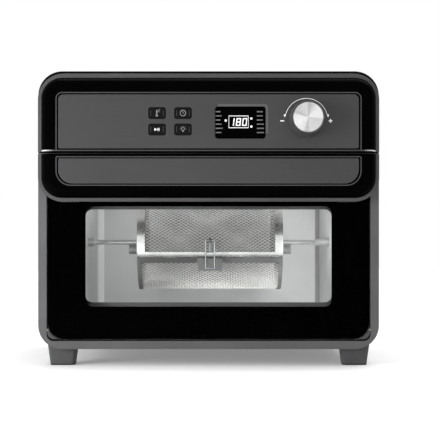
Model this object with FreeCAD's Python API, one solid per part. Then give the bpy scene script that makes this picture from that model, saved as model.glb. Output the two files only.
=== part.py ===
import FreeCAD, Part
import math
import os

# Oven-type air fryer: front faces -Y, +Z is up, feet stand on Z = 0, centred on X and Y.
# All sizes are in millimetres.

# Overall size
body_width = 400.0
body_depth = 330.0
overall_height = 344.0
foot_height = 19.9
hood_side_step = 2.0
hood_projection = 24.0
knob_projection = 27.0
spacer_length = 12.0

# Casing
body_corner = 28.0
sheet = 0.8
casing_drop = 2.0
lip_width = 12.0
foot_top_width = 33.5
foot_bottom_width = 28.5
foot_length = 26.0
foot_side_inset = 9.9
foot_end_inset = 10.6
foot_corner = 4.0
vent_width = 3.0
vent_pitch = 8.0
vent_height = 36.0
vents_in_row = 9
spacer_radius = 11.0
spacer_tip_radius = 9.0
gland_radius = 9.0
gland_bore = 3.5
screw_head_radius = 3.4
screw_head_height = 2.0
screw_radius = 1.6
screw_length = 8.0
recess_share = 0.6
recess_width = 0.9

# Split line between the fixed control head and the door's handle hood
head_height = 95.4
split_gap = 3.0
hood_height = 56.2
hood_corner = 28.0
rim_width = 4.0
rim_top_width = 5.1
rim_setback = 9.0
rim_depth = 3.5
rim_corner = 30.0
crest_line = 3.1
fascia_wall = 2.5
fascia_round = 11.0
fascia_fit = 0.2
head_wall = 7.0
head_back = 2.0

# Brushed panels and the thin trim lines round them
panel_side_margin = 24.8
panel_thickness = 0.9
panel_bevel = 0.5
panel_lift = 2.95
panel_top_margin = 28.7
panel_corner = 6.0
trim_reach = 3.1
trim_width = 1.3
trim_thickness = 0.5
trim_top_gap = 2.75
trim_corner = 7.5
handle_panel_lift = 20.15
handle_panel_drop = 5.4
handle_panel_corner = 16.0
handle_trim_low_gap = 2.55
handle_trim_top_gap = 2.4
small_corner = 2.0
pocket_side_margin = 46.0
pocket_height = 32.0

# Controls
button_width = 19.6
button_height = 13.0
button_corner = 2.5
button_gap = 0.35
button_proud = 0.6
button_bevel = 0.8
button_travel = 1.0
button_flange = 1.2
button_columns = (-59.3, -29.5)
button_row_pitch = 18.9
display_width = 58.2
display_height = 37.0
display_corner = 3.5
display_x = 36.7
display_drop = 1.4
display_bevel = 0.7
knob_side_margin = 60.6
knob_rise = 1.8
knob_skirt_radius = 20.6
knob_front_radius = 18.6
knob_cap_radius = 17.6
knob_cap_depth = 3.0
knob_cap_bevel = 0.9
knob_notch_radius = 1.3
knob_notch_inset = 3.2
knob_notch_angle = 135.0
knob_gap = 0.6
shaft_radius = 3.0
shaft_fit = 0.05
encoder_bush_radius = 4.6
encoder_size = 14.0
board_thickness = 1.6
board_setback = 9.0

# Door
door_side_margin = 10.6
door_lift = 10.9
door_thickness = 29.0
door_proud = 1.3
door_side_gap = 0.8
door_bottom_gap = 1.5
door_corner = 20.0
opening_corner = 8.0
glass_thickness = 4.0
glass_edge = 3.0
mask_thickness = 0.4
frame_inset = 0.8
fill_gap = 0.3
fill_span = 11.0
door_wall = 3.0
window_side_margin = 44.8
window_lift = 38.9
window_drop = 4.8
window_corner = 8.0
inner_window_reach = 2.7
inner_window_lift = 4.15
inner_window_drop = 2.6
inner_glass_border = 7.0
seal_thickness = 3.0
seal_width = 6.0
seal_clearance = 0.4
hinge_setback = 7.5
hinge_rise = 11.0
pin_radius = 2.5
pin_fit = 0.06
pin_grip = 16.0
bush_wall = 2.5
bush_length = 6.0

# Cooking cavity
cavity_side_room = 41.5
cavity_lift = 6.2
cavity_drop = 7.6
cavity_back_room = 36.9
flange_width = 36.0
liner_corner = 8.0
fan_opening_radius = 98.0
dome_radius = 112.0
dome_height = 38.0
dome_flange = 8.0
guard_thickness = 1.0
guard_slots = 20
guard_slot_width = 5.0
guard_rings = ((34.0, 58.0), (66.0, 90.0))
coil_radius = 80.0
coil_inner_radius = 66.0
coil_tube = 3.2
coil_rise = 14.0
coil_turn = 345.0
fan_radius = 50.0
fan_height = 12.0
fan_blades = 8
blade_thickness = 1.2
cooling_fan_radius = 42.0
cooling_fan_height = 7.0
fan_shaft_radius = 4.0
fan_hub_radius = 9.0
motor_radius = 28.0
motor_height = 30.0
motor_gap = 17.0
lamp_radius = 17.0
lamp_drop = 25.0
lamp_back_room = 52.6

# Turning basket
basket_set_back = 1.4
basket_rise = 8.7
basket_x = 1.8
basket_side_room = 65.9
basket_radius = 61.0
mesh_sheet = 1.0
band_sheet = 1.0
split_drop = 19.9
split_clearance = 0.4
lid_band_width = 10.0
trough_band_width = 5.0
lid_bar_height = 6.5
trough_bar_height = 7.0
end_clearance = 0.5
mesh_hole_length = 13.0
mesh_hole_height = 8.0
mesh_pitch = 21.0
mesh_step_angle = 15.0
clamp_radius = 6.0
clamp_length = 14.0
clamp_drop = 9.6
spit_radius = 3.2
socket_radius = 5.0
socket_length = 18.0
gear_motor_depth = 24.0
gear_motor_width = 44.0
gear_motor_height = 52.0
cup_length = 7.0
cup_radius = 5.5
knuckle_radius = 2.6
knuckle_length = 14.0
lid_pin_radius = 1.4
lid_pin_standoff = 4.0
wire_radius = 0.9
latch_width = 11.3
latch_rise = 1.1
latch_standoff = 5.0
strap_width = 3.0
tab_top_width = 33.0
tab_low_width = 29.0
tab_drop = 16.4
tab_sheet = 1.0
latch_clearance = 0.5

V = FreeCAD.Vector

# Planes worked out from the driving sizes
overall_depth = knob_projection + hood_projection + body_depth + spacer_length
y_rear = overall_depth / 2 - spacer_length
y_body = y_rear - body_depth
y_hood = y_body - hood_projection
y_knob = y_hood - knob_projection
y_seat = y_hood + rim_setback + rim_depth
y_door = y_body - door_proud
y_inner_panel = y_door + door_thickness - sheet
y_flange = y_door + door_thickness + seal_thickness + seal_clearance
y_cavity_back = y_rear - cavity_back_room
body_half = body_width / 2
hood_half = body_half - hood_side_step
casing_top = overall_height - casing_drop
split_height = overall_height - head_height
hood_bottom = split_height - hood_height
door_half_width = body_half - door_side_margin
door_bottom = foot_height + door_lift
door_top = split_height - split_gap / 2
head_bottom = split_height + split_gap / 2
panel_half_width = hood_half - panel_side_margin
panel_bottom = head_bottom + panel_lift
panel_top = overall_height - panel_top_margin
panel_middle = (panel_bottom + panel_top) / 2
trim_half_width = panel_half_width + trim_reach
trim_top = panel_top + trim_top_gap
handle_panel_bottom = hood_bottom + handle_panel_lift
handle_panel_top = door_top - handle_panel_drop
handle_trim_bottom = handle_panel_bottom - handle_trim_low_gap
handle_trim_top = handle_panel_top + handle_trim_top_gap
pocket_half_width = hood_half - pocket_side_margin
button_rows = (panel_middle - button_row_pitch / 2, panel_middle + button_row_pitch / 2)
display_z = panel_middle - display_drop
knob_x = panel_half_width - knob_side_margin
knob_z = panel_middle + knob_rise
window_half_width = door_half_width - window_side_margin
window_bottom = door_bottom + window_lift
window_top = hood_bottom - window_drop
inner_window_half_width = window_half_width + inner_window_reach
inner_window_bottom = window_bottom + inner_window_lift
inner_window_top = window_top - inner_window_drop
cavity_half_width = body_half - cavity_side_room
cavity_floor = door_bottom + cavity_lift
cavity_ceiling = split_height - cavity_drop
basket_y = (y_flange + y_cavity_back) / 2 + basket_set_back
basket_z = (cavity_floor + cavity_ceiling) / 2 + basket_rise
basket_half_length = cavity_half_width - basket_side_room
lamp_y = y_cavity_back - lamp_back_room
lamp_z = cavity_ceiling - lamp_drop
opening_half = door_half_width + door_side_gap
opening_bottom = door_bottom - door_bottom_gap
hinge_y = y_door + hinge_setback
hinge_z = door_bottom + hinge_rise
fascia_half = hood_half - rim_width - fascia_fit
fascia_top = overall_height - crest_line - rim_top_width - fascia_fit
y_panel = y_hood - panel_thickness
y_board = y_hood + board_setback
ceiling_top = cavity_ceiling + sheet
dome_top = ceiling_top + dome_height
fan_y = basket_y
split_z = basket_z - split_drop
band_radius = basket_radius + band_sheet
split_reach = math.sqrt(band_radius ** 2 - split_drop ** 2)
lid_axis_y = basket_y + split_reach + lid_pin_standoff
latch_y = basket_y - band_radius - latch_standoff
latch_z = basket_z + latch_rise


def block(x0, x1, y0, y1, z0, z1):
    return Part.makeBox(x1 - x0, y1 - y0, z1 - z0, V(x0, y0, z0))


def rod_x(radius, x0, x1, y, z):
    return Part.makeCylinder(radius, x1 - x0, V(x0, y, z), V(1, 0, 0))


def rod_y(radius, y0, y1, x, z):
    return Part.makeCylinder(radius, y1 - y0, V(x, y0, z), V(0, 1, 0))


def rod_z(radius, z0, z1, x, y):
    return Part.makeCylinder(radius, z1 - z0, V(x, y, z0), V(0, 0, 1))


def join(shapes):
    return shapes[0].fuse(shapes[1:]).removeSplitter()


def rounded_face(x0, x1, z0, z1, bottom, top):
    """Upright face with one radius for its bottom corners and one for its top corners."""
    corners = [(V(x0, 0, z0), bottom), (V(x1, 0, z0), bottom), (V(x1, 0, z1), top), (V(x0, 0, z1), top)]
    arcs = []
    for index, (corner, radius) in enumerate(corners):
        back = (corners[index - 1][0] - corner).normalize()
        ahead = (corners[(index + 1) % 4][0] - corner).normalize()
        middle = corner + (back + ahead) * (radius * (1 - math.sqrt(0.5)))
        arcs.append((corner + back * radius, middle, corner + ahead * radius, radius))
    edges = []
    for index, (start, middle, finish, radius) in enumerate(arcs):
        if radius > 0:
            edges.append(Part.Arc(start, middle, finish).toShape())
        edges.append(Part.makeLine(finish, arcs[(index + 1) % 4][0]))
    return Part.Face(Part.Wire(edges))


def slab(x0, x1, y0, y1, z0, z1, bottom=0.0, top=0.0):
    """Upright plate from y0 to y1 with rounded corners as seen from the front."""
    face = rounded_face(x0, x1, z0, z1, bottom, top)
    face.translate(V(0, y0, 0))
    return face.extrude(V(0, y1 - y0, 0))


def plan_plate(half_width, y0, y1, z0, z1, front):
    """Level plate from z0 to z1 whose two front corners are rounded as seen from above."""
    face = rounded_face(-half_width, half_width, y0, y1, front, 0.0)
    face.rotate(V(0, 0, 0), V(1, 0, 0), -90)
    face.translate(V(0, 0, z0))
    return face.extrude(V(0, 0, z1 - z0))


def front_edges(shape, y):
    return [edge for edge in shape.Edges if all(abs(v.Y - y) < 1e-4 for v in edge.Vertexes)]


def top_edges(shape, z):
    return [edge for edge in shape.Edges if all(abs(v.Z - z) < 1e-4 for v in edge.Vertexes)]


def bevelled(shape, y, size):
    """The shape with the edges of its front face at y cut off."""
    return shape.makeChamfer(size, front_edges(shape, y))


def pillow(half_width, y0, y1, z0, z1, bottom, top, roundness, flat_z):
    """Upright plate with a rounded front edge all round, apart from the straight edge at flat_z."""
    plate = slab(-half_width, half_width, y0, y1, z0, z1, bottom, top)
    edges = [e for e in front_edges(plate, y0) if any(abs(v.Z - flat_z) > 1e-4 for v in e.Vertexes)]
    return plate.makeFillet(roundness, edges)


def slot_row(x_middle, y0, y1, z0, z1):
    """Row of upright slots through a wall that faces front or back."""
    first = x_middle - vent_pitch * (vents_in_row - 1) / 2
    slots = []
    for index in range(vents_in_row):
        x = first + index * vent_pitch
        slots.append(block(x - vent_width / 2, x + vent_width / 2, y0, y1, z0, z1))
    return slots


# Casing

def casing_section(y0, y1, inset):
    return slab(
        -body_half + inset, body_half - inset, y0, y1, foot_height + inset, casing_top - inset,
        body_corner - inset, body_corner - inset,
    )


def casing_wrap():
    wrap = casing_section(y_flange, y_rear, 0.0).cut(casing_section(y_flange, y_rear, sheet))
    gap_half = body_half - body_corner - lip_width
    wrap = wrap.cut(block(-gap_half, gap_half, y_flange, y_rear, foot_height, foot_height + sheet))
    slot_bottom = casing_top - body_corner - vent_height
    slots = []
    for index in range(vents_in_row):
        y = y_cavity_back - index * vent_pitch
        slot_top = slot_bottom + vent_height
        slots.append(block(-body_half, body_half, y, y + vent_width, slot_bottom, slot_top))
    return wrap.cut(slots)


def base_plate():
    half = body_half - body_corner - lip_width
    plate = block(-half, half, y_flange, y_rear - sheet, foot_height, foot_height + sheet)
    y_middle = (y_flange + y_rear) / 2
    slots = slot_row(0.0, y_middle - vent_height, y_middle, foot_height, foot_height + sheet)
    return plate.cut(slots)


def rear_screw_places():
    x = body_half - body_corner
    heights = (foot_height + body_corner, (foot_height + casing_top) / 2, casing_top - body_corner)
    return [(side * x, z) for side in (-1, 1) for z in heights]


def gland_place():
    return body_half - 2 * body_corner, foot_height + 2 * body_corner


def rear_panel():
    panel = casing_section(y_rear - sheet, y_rear, sheet)
    z1 = casing_top - body_corner
    z0 = z1 - vent_height
    holes = slot_row(-body_half / 3, y_rear - sheet, y_rear, z0, z1)
    holes += slot_row(body_half / 3, y_rear - sheet, y_rear, z0, z1)
    holes += [rod_y(screw_radius, y_rear - sheet, y_rear, x, z) for x, z in rear_screw_places()]
    x, z = gland_place()
    holes.append(rod_y(gland_radius - sheet, y_rear - sheet, y_rear, x, z))
    return panel.cut(holes)


def cross_recess(x, z):
    """Cross in the head of a screw for the driver."""
    long = screw_head_radius * recess_share
    y0 = y_rear + screw_head_height / 2
    y1 = y_rear + screw_head_height
    level = block(x - long, x + long, y0, y1, z - recess_width / 2, z + recess_width / 2)
    upright = block(x - recess_width / 2, x + recess_width / 2, y0, y1, z - long, z + long)
    return join([level, upright])


def casing_screws():
    """Pan-head screws that hold the rear panel."""
    screws = []
    for x, z in rear_screw_places():
        head = rod_y(screw_head_radius, y_rear, y_rear + screw_head_height, x, z)
        head = head.makeFillet(screw_head_height / 2, front_edges(head, y_rear + screw_head_height))
        head = head.cut(cross_recess(x, z))
        screws.append(head.fuse(rod_y(screw_radius, y_rear - screw_length, y_rear, x, z)))
    return Part.makeCompound(screws)


def rear_spacers():
    """Round bumpers that keep the back of the oven off a wall."""
    x = body_half / 2
    z = (foot_height + casing_top) / 2
    spacers = []
    for side in (-1, 1):
        root = V(side * x, y_rear, z)
        spacers.append(Part.makeCone(spacer_radius, spacer_tip_radius, spacer_length, root, V(0, 1, 0)))
    return Part.makeCompound(spacers)


def cord_gland():
    x, z = gland_place()
    collar = rod_y(gland_radius, y_rear, y_rear + spacer_length / 2, x, z)
    neck = rod_y(gland_radius - sheet, y_rear - spacer_length, y_rear, x, z)
    bore = rod_y(gland_bore, y_rear - spacer_length, y_rear + spacer_length, x, z)
    return join([collar, neck]).cut(bore)


def foot(x, y):
    """Tapered foot, narrower at the table, that rises to the rounded corner of the body."""
    def outline(z):
        width = foot_bottom_width + (foot_top_width - foot_bottom_width) * z / foot_height
        length = foot_length * width / foot_top_width
        face = rounded_face(-width / 2, width / 2, -length / 2, length / 2, foot_corner, foot_corner)
        face.rotate(V(0, 0, 0), V(1, 0, 0), -90)
        face.translate(V(x, y, z))
        return face.OuterWire
    loft = Part.makeLoft([outline(0.0), outline(foot_height + body_corner)], True, True)
    return loft.cut(casing_section(y_body, y_rear, 0.0))


def feet():
    x = body_half - foot_side_inset - foot_top_width / 2
    y_front = y_body + foot_end_inset + foot_length / 2
    y_back = y_rear - foot_end_inset - foot_length / 2
    return Part.makeCompound([foot(side * x, y) for side in (-1, 1) for y in (y_front, y_back)])


def bush_place(side):
    """Inner and outer end of a hinge bush along X."""
    return side * opening_half, side * (opening_half + bush_length)


def front_frame():
    """Moulded frame round the door, with a pocket for the wiring behind the control head."""
    frame = casing_section(y_body, y_flange, 0.0)
    opening = slab(
        -opening_half, opening_half, y_body, y_flange, opening_bottom, head_bottom - sheet,
        opening_corner, 0.0,
    )
    pocket = slab(
        -fascia_half + head_wall, fascia_half - head_wall, y_body + 2 * sheet, y_flange,
        head_bottom + head_wall, casing_top - head_wall, 0.0, body_corner - head_wall,
    )
    return frame.cut([opening, pocket, cable_window(y_body, y_body + 2 * sheet)] + hinge_bores())


def hinge_bores():
    outer = pin_radius + pin_fit + bush_wall
    return [rod_x(outer, min(bush_place(s)), max(bush_place(s)), hinge_y, hinge_z) for s in (-1, 1)]


def hinge_bushes():
    bore = pin_radius + pin_fit
    bushes = []
    for side, bush in zip((-1, 1), hinge_bores()):
        x0, x1 = min(bush_place(side)), max(bush_place(side))
        bushes.append(bush.cut(rod_x(bore, x0, x1, hinge_y, hinge_z)))
    return Part.makeCompound(bushes)


# Control head

def cable_window(y0, y1):
    """Opening for the cables between the head and the casing."""
    half = fascia_half / 2
    return block(-half, half, y0, y1, panel_bottom + head_wall, panel_top - head_wall)


def head_housing():
    """Black tray behind the head's rim and fascia."""
    outer = slab(-hood_half, hood_half, y_seat, y_body, head_bottom, overall_height, 0.0, hood_corner)
    half = hood_half - head_wall
    inner = slab(
        -half, half, y_seat, y_body - head_back, head_bottom + head_wall, fascia_top - head_wall / 2,
        0.0, hood_corner - head_wall,
    )
    return outer.cut([inner, cable_window(y_body - head_back, y_body)])


def head_rim():
    """Satin grey line round the sides and top of the head."""
    top = overall_height - crest_line
    y0 = y_hood + rim_setback
    outer = slab(-hood_half, hood_half, y0, y_seat, head_bottom, top, 0.0, rim_corner)
    half = hood_half - rim_width
    inner = slab(-half, half, y0, y_seat, head_bottom, top - rim_top_width, 0.0, hood_corner - rim_width)
    return outer.cut(inner)


def button_shape(x, z, y0, y1, grow):
    half_width = button_width / 2 + grow
    half_height = button_height / 2 + grow
    corner = button_corner + grow
    return slab(x - half_width, x + half_width, y0, y1, z - half_height, z + half_height, corner, corner)


def button_places():
    return [(x, z) for z in button_rows for x in button_columns]


def display_shape(y0, y1, grow):
    half_width = display_width / 2 + grow
    half_height = display_height / 2 + grow
    corner = display_corner + grow
    plate = slab(-half_width, half_width, y0, y1, -half_height, half_height, corner, corner)
    plate.translate(V(display_x, 0, display_z))
    return plate


def control_openings(y0, y1):
    """Holes through the head's front for the buttons, the display and the knob's shaft."""
    holes = [button_shape(x, z, y0, y1, button_gap) for x, z in button_places()]
    holes.append(display_shape(y0, y1, 0.0))
    holes.append(rod_y(encoder_bush_radius, y0, y1, knob_x, knob_z))
    return holes


def board_span():
    """Left, right, bottom and top of the control board."""
    margin = 2 * button_height
    left = button_columns[0] - margin
    right = knob_x + margin
    return left, right, panel_bottom + head_wall, panel_top - head_wall / 2


def head_fascia():
    """Gloss black moulding, flat in the middle and rounded back to the rim."""
    bottom = head_bottom + trim_width
    corner = hood_corner - rim_width
    shell = pillow(fascia_half, y_hood, y_seat, bottom, fascia_top, 0.0, corner, fascia_round, bottom)
    floor = bottom + fascia_wall
    roof = fascia_top - fascia_wall
    hollow = pillow(
        fascia_half - fascia_wall, y_hood + fascia_wall, y_seat, floor, roof, 0.0, corner - fascia_wall,
        fascia_round - fascia_wall, floor,
    )
    shell = shell.cut([hollow] + control_openings(y_hood, y_hood + fascia_wall))
    left, right, low, high = board_span()
    inset = 2 * shaft_radius
    posts = []
    for x in (left + inset, right - inset):
        for z in (low + inset, high - inset):
            posts.append(rod_y(shaft_radius, y_hood + fascia_wall, y_board, x, z))
    return join([shell] + posts)


def panel_trim():
    """Thin line round the control panel, with a strip along the whole lower edge of the head."""
    strip = plan_plate(
        fascia_half, y_hood - trim_thickness, y_seat, head_bottom, head_bottom + trim_width, fascia_round,
    )
    line = trim_line(head_bottom, trim_top, 0.0, trim_corner)
    return join([strip, line])


def trim_line(z0, z1, bottom, top):
    y0 = y_hood - trim_thickness
    outer = slab(-trim_half_width, trim_half_width, y0, y_hood, z0, z1, bottom, top)
    half = trim_half_width - trim_width
    low = max(bottom - trim_width, 0.0)
    high = max(top - trim_width, 0.0)
    return outer.cut(slab(-half, half, y0, y_hood, z0 + trim_width, z1 - trim_width, low, high))


def control_panel():
    half = panel_half_width
    plate = slab(-half, half, y_panel, y_hood, panel_bottom, panel_top, small_corner, panel_corner)
    plate = bevelled(plate, y_panel, panel_bevel).cut(control_openings(y_panel, y_hood))
    return plate.cut(display_flare())


def display_flare():
    """Funnel that widens the display's opening towards the front of the panel."""
    wide = display_shape(y_panel, y_panel + display_bevel, display_bevel).Faces
    front = min(wide, key=lambda face: face.CenterOfMass.y).OuterWire
    narrow = display_shape(y_panel, y_panel + display_bevel, 0.0).Faces
    back = max(narrow, key=lambda face: face.CenterOfMass.y).OuterWire
    return Part.makeLoft([front, back], True, True)


def display_window():
    return display_shape(y_hood, y_hood + fascia_wall, 0.0)


def control_board():
    """Circuit board with the display module in front of it."""
    left, right, low, high = board_span()
    board = block(left, right, y_board, y_board + board_thickness, low, high)
    module = display_shape(y_hood + fascia_wall, y_board, -display_corner)
    return join([board, module])


def rotary_encoder():
    half = encoder_size / 2
    body = block(
        knob_x - half, knob_x + half, y_hood + fascia_wall, y_board, knob_z - half, knob_z + half,
    )
    bush = rod_y(encoder_bush_radius, y_panel - panel_bevel, y_hood + fascia_wall, knob_x, knob_z)
    bore = rod_y(shaft_radius + shaft_fit, y_panel - panel_bevel, y_board, knob_x, knob_z)
    return join([body, bush]).cut(bore)


def button(x, z):
    """Push button with a hidden flange that keeps it from falling out."""
    y0 = y_panel - button_proud
    y_flange_front = y_hood + fascia_wall + button_gap
    cap = bevelled(button_shape(x, z, y0, y_flange_front, 0.0), y0, button_bevel)
    flange = button_shape(x, z, y_flange_front, y_flange_front + button_flange, button_flange)
    stem = rod_y(shaft_radius, y_flange_front, y_board - button_travel - button_gap, x, z)
    return join([cap, flange, stem])


def knob_base():
    """Plane where the knob's skirt begins, just clear of the panel."""
    return y_panel - knob_gap


def knob_skirt():
    y_base = knob_base()
    seat = y_knob + knob_cap_depth
    length = y_base - y_knob
    skirt = Part.makeCone(
        knob_skirt_radius, knob_front_radius, length, V(knob_x, y_base, knob_z), V(0, -1, 0),
    )
    seat_hole = rod_y(knob_cap_radius, y_knob, seat, knob_x, knob_z)
    hollow = rod_y(knob_front_radius - fascia_wall, seat + fascia_wall, y_base, knob_x, knob_z)
    hub = rod_y(2 * shaft_radius, seat + fascia_wall, y_base, knob_x, knob_z)
    bore = rod_y(shaft_radius, seat + fascia_wall, y_base, knob_x, knob_z)
    bush_room = rod_y(encoder_bush_radius + knob_gap, y_base - 2 * knob_gap, y_base, knob_x, knob_z)
    return skirt.cut([seat_hole, hollow.cut(hub), bore, bush_room])


def knob_cap():
    """Spun metal cap with a bright bevelled edge and a small pointer notch."""
    cap = rod_y(knob_cap_radius, y_knob, y_knob + knob_cap_depth, knob_x, knob_z)
    cap = bevelled(cap, y_knob, knob_cap_bevel)
    angle = math.radians(knob_notch_angle)
    reach = knob_cap_radius - knob_notch_inset
    x = knob_x + reach * math.cos(angle)
    z = knob_z + reach * math.sin(angle)
    return cap.cut(rod_y(knob_notch_radius, y_knob, y_knob + knob_cap_bevel, x, z))


def encoder_shaft():
    seat = y_knob + knob_cap_depth + fascia_wall
    return rod_y(shaft_radius, seat, y_board - button_gap, knob_x, knob_z)


# Door

def outer_glass():
    glass = slab(
        -door_half_width, door_half_width, y_door, y_door + glass_thickness, door_bottom, door_top,
        door_corner, small_corner,
    )
    lower = [e for e in front_edges(glass, y_door) if min(v.Z for v in e.Vertexes) < door_bottom + 1e-4]
    return glass.makeFillet(glass_edge, lower)


def behind_glass():
    return y_door + glass_thickness + mask_thickness


def door_section(y0, y1, corner, inset=0.0):
    edge = frame_inset + inset
    half = door_half_width - edge
    return slab(-half, half, y0, y1, door_bottom + edge, door_top - edge, corner - inset, small_corner)


def window_mask():
    """Black print on the back of the outer glass, with the clear window left free."""
    y0 = y_door + glass_thickness
    half = window_half_width
    window = slab(-half, half, y0, behind_glass(), window_bottom, window_top, window_corner, window_corner)
    return door_section(y0, behind_glass(), door_corner - frame_inset).cut(window)


def inner_glass_shape(y0, y1, grow=0.0):
    edge = inner_glass_border + grow
    half = inner_window_half_width + edge
    low = inner_window_bottom - edge
    high = inner_window_top + edge
    return slab(-half, half, y0, y1, low, high, small_corner, small_corner)


def door_frame():
    """Grey channel that holds the two panes apart and fills the corners of the frame's opening."""
    corner = opening_corner + frame_inset
    ring = door_section(behind_glass(), y_inner_panel, corner)
    y_web = behind_glass() + door_wall
    channel = door_section(y_web, y_inner_panel, corner, door_wall)
    channel = channel.cut([inner_glass_shape(y_web, y_inner_panel, door_wall)] + pin_bosses())
    opening = inner_glass_shape(behind_glass(), y_inner_panel)
    return join([ring.cut([channel, opening] + hinge_pin_list())] + corner_fills())


def corner_fills():
    """Pieces flush with the body between the glass's round lower corners and the frame's opening."""
    y1 = behind_glass()
    low = door_bottom + frame_inset
    outline = slab(-door_half_width, door_half_width, y_body, y1, low, door_top, opening_corner, 0.0)
    room = door_half_width + fill_gap
    glass = slab(-room, room, y_body, y1, door_bottom - fill_gap, door_top, door_corner + fill_gap, 0.0)
    fills = []
    for side in (-1, 1):
        x0, x1 = sorted((side * (door_half_width - fill_span), side * door_half_width))
        zone = block(x0, x1, y_body, y1, door_bottom, door_bottom + fill_span)
        fills.append(outline.cut(glass).common(zone))
    return fills


def pin_bosses():
    """Solid ends of the door frame that grip the hinge pins."""
    y0 = behind_glass()
    inner = door_half_width - frame_inset - pin_grip
    reach = 2 * pin_radius + door_wall
    z1 = hinge_z + reach
    ends = (sorted((side * inner, side * door_half_width)) for side in (-1, 1))
    return [block(x0, x1, y0, hinge_y + reach, door_bottom, z1) for x0, x1 in ends]


def inner_glass():
    return inner_glass_shape(y_inner_panel - glass_thickness, y_inner_panel)


def inner_panel():
    """Sheet panel on the oven side of the door."""
    panel = door_section(y_inner_panel, y_inner_panel + sheet, opening_corner + frame_inset)
    window = slab(
        -inner_window_half_width, inner_window_half_width, y_inner_panel, y_inner_panel + sheet,
        inner_window_bottom, inner_window_top, window_corner, window_corner,
    )
    return panel.cut(window)


def door_seal():
    """Rubber strip up the sides and over the top of the cavity mouth."""
    y0 = y_inner_panel + sheet
    inner_half = cavity_half_width + seal_width
    inner_top = cavity_ceiling - seal_width
    bottom = hinge_z + seal_width
    outer_half = inner_half + seal_width
    outer_top = inner_top + seal_width
    y1 = y0 + seal_thickness
    outer = slab(-outer_half, outer_half, y0, y1, bottom, outer_top, 0.0, 2 * seal_width)
    return outer.cut(slab(-inner_half, inner_half, y0, y1, bottom, inner_top, 0.0, seal_width))


def hinge_pin_list():
    pins = []
    for side in (-1, 1):
        inside = side * (door_half_width - frame_inset - pin_grip)
        outside = side * (opening_half + bush_length - pin_fit)
        pins.append(rod_x(pin_radius, min(inside, outside), max(inside, outside), hinge_y, hinge_z))
    return pins


def hinge_pins():
    return Part.makeCompound(hinge_pin_list())


def handle_shell():
    """Grey rim of the handle hood, and the arch behind it with a finger pocket that opens downwards."""
    y0 = y_hood + rim_setback
    half = hood_half - rim_width
    rim = slab(-hood_half, hood_half, y0, y_seat, hood_bottom, door_top, hood_corner, 0.0)
    seat = slab(-half, half, y0, y_seat, hood_bottom + rim_width, door_top, hood_corner - rim_width, 0.0)
    arch = slab(-hood_half, hood_half, y_seat, y_door, hood_bottom, door_top, hood_corner, 0.0)
    pocket = slab(
        -pocket_half_width, pocket_half_width, y_seat, y_door, hood_bottom, hood_bottom + pocket_height,
        0.0, window_corner,
    )
    return Part.makeCompound([rim.cut(seat), arch.cut(pocket)])


def handle_fascia():
    """Gloss black front of the handle hood, hollow behind so that fingers can curl into it."""
    corner = hood_corner - rim_width
    bottom = hood_bottom + rim_width + fascia_fit
    shell = pillow(fascia_half, y_hood, y_seat, bottom, door_top, corner, 0.0, fascia_round, door_top)
    floor = bottom + fascia_wall
    roof = door_top - fascia_wall
    hollow = pillow(
        fascia_half - fascia_wall, y_hood + fascia_wall, y_seat, floor, roof, corner - fascia_wall, 0.0,
        fascia_round - fascia_wall, roof,
    )
    return shell.cut(hollow)


def handle_trim():
    return trim_line(handle_trim_bottom, handle_trim_top, handle_panel_corner + trim_width, small_corner)


def handle_panel():
    plate = slab(
        -panel_half_width, panel_half_width, y_panel, y_hood, handle_panel_bottom, handle_panel_top,
        handle_panel_corner, small_corner,
    )
    return bevelled(plate, y_panel, panel_bevel)


# Cooking cavity and what heats it

def flange_part(x0, x1, z0, z1):
    """Part of the upright flange that closes the space behind the front frame."""
    half = cavity_half_width + flange_width
    whole = slab(
        -half, half, y_flange, y_flange + sheet, opening_bottom - lip_width / 2, cavity_ceiling + lip_width,
        body_corner - lip_width / 2, 0.0,
    )
    return whole.common(block(x0, x1, y_flange, y_flange + sheet, z0, z1))


def liner_floor():
    half = cavity_half_width
    plate = block(-half, half, y_flange, y_cavity_back + sheet, cavity_floor - sheet, cavity_floor)
    return join([plate, flange_part(-half, half, 0.0, cavity_floor)])


def liner_ceiling():
    half = cavity_half_width
    plate = block(-half, half, y_flange, y_cavity_back + sheet, cavity_ceiling, ceiling_top)
    plate = join([plate, flange_part(-half, half, cavity_ceiling, overall_height)])
    fan_hole = rod_z(fan_opening_radius, cavity_ceiling, ceiling_top, 0.0, fan_y)
    return plate.cut([fan_hole, rod_z(probe_radius(), cavity_ceiling, ceiling_top, *probe_place())])


def liner_back():
    """Back wall whose upright edges are rolled forward to meet the side walls."""
    inner = cavity_half_width - liner_corner
    y_roll = y_cavity_back - liner_corner
    y1 = y_cavity_back + sheet
    pieces = [block(-inner, inner, y_cavity_back, y1, cavity_floor, cavity_ceiling)]
    for side in (-1, 1):
        x = side * inner
        tube = rod_z(liner_corner + sheet, cavity_floor, cavity_ceiling, x, y_roll)
        tube = tube.cut(rod_z(liner_corner, cavity_floor, cavity_ceiling, x, y_roll))
        x0, x1 = sorted((x, side * (cavity_half_width + sheet)))
        pieces.append(tube.common(block(x0, x1, y_roll, y1, cavity_floor, cavity_ceiling)))
    return join(pieces)


def liner_wall(side):
    """Side wall with its end of the flange."""
    x = side * cavity_half_width
    x0, x1 = sorted((x, x + side * sheet))
    plate = block(x0, x1, y_flange, y_cavity_back - liner_corner, cavity_floor - sheet, ceiling_top)
    end = flange_part(*sorted((x, x + side * flange_width)), 0.0, overall_height)
    return join([plate, end])


def cavity_liner():
    """Welded sheets: floor, ceiling, back and two walls, the right one with holes for spit and lamp."""
    x = cavity_half_width
    right = liner_wall(1).cut([
        rod_x(2 * spit_radius, x, x + sheet, basket_y, basket_z),
        rod_x(lamp_radius - sheet, x, x + sheet, lamp_y, lamp_z),
    ])
    return Part.makeCompound([liner_floor(), liner_ceiling(), liner_back(), liner_wall(-1), right])


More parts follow.
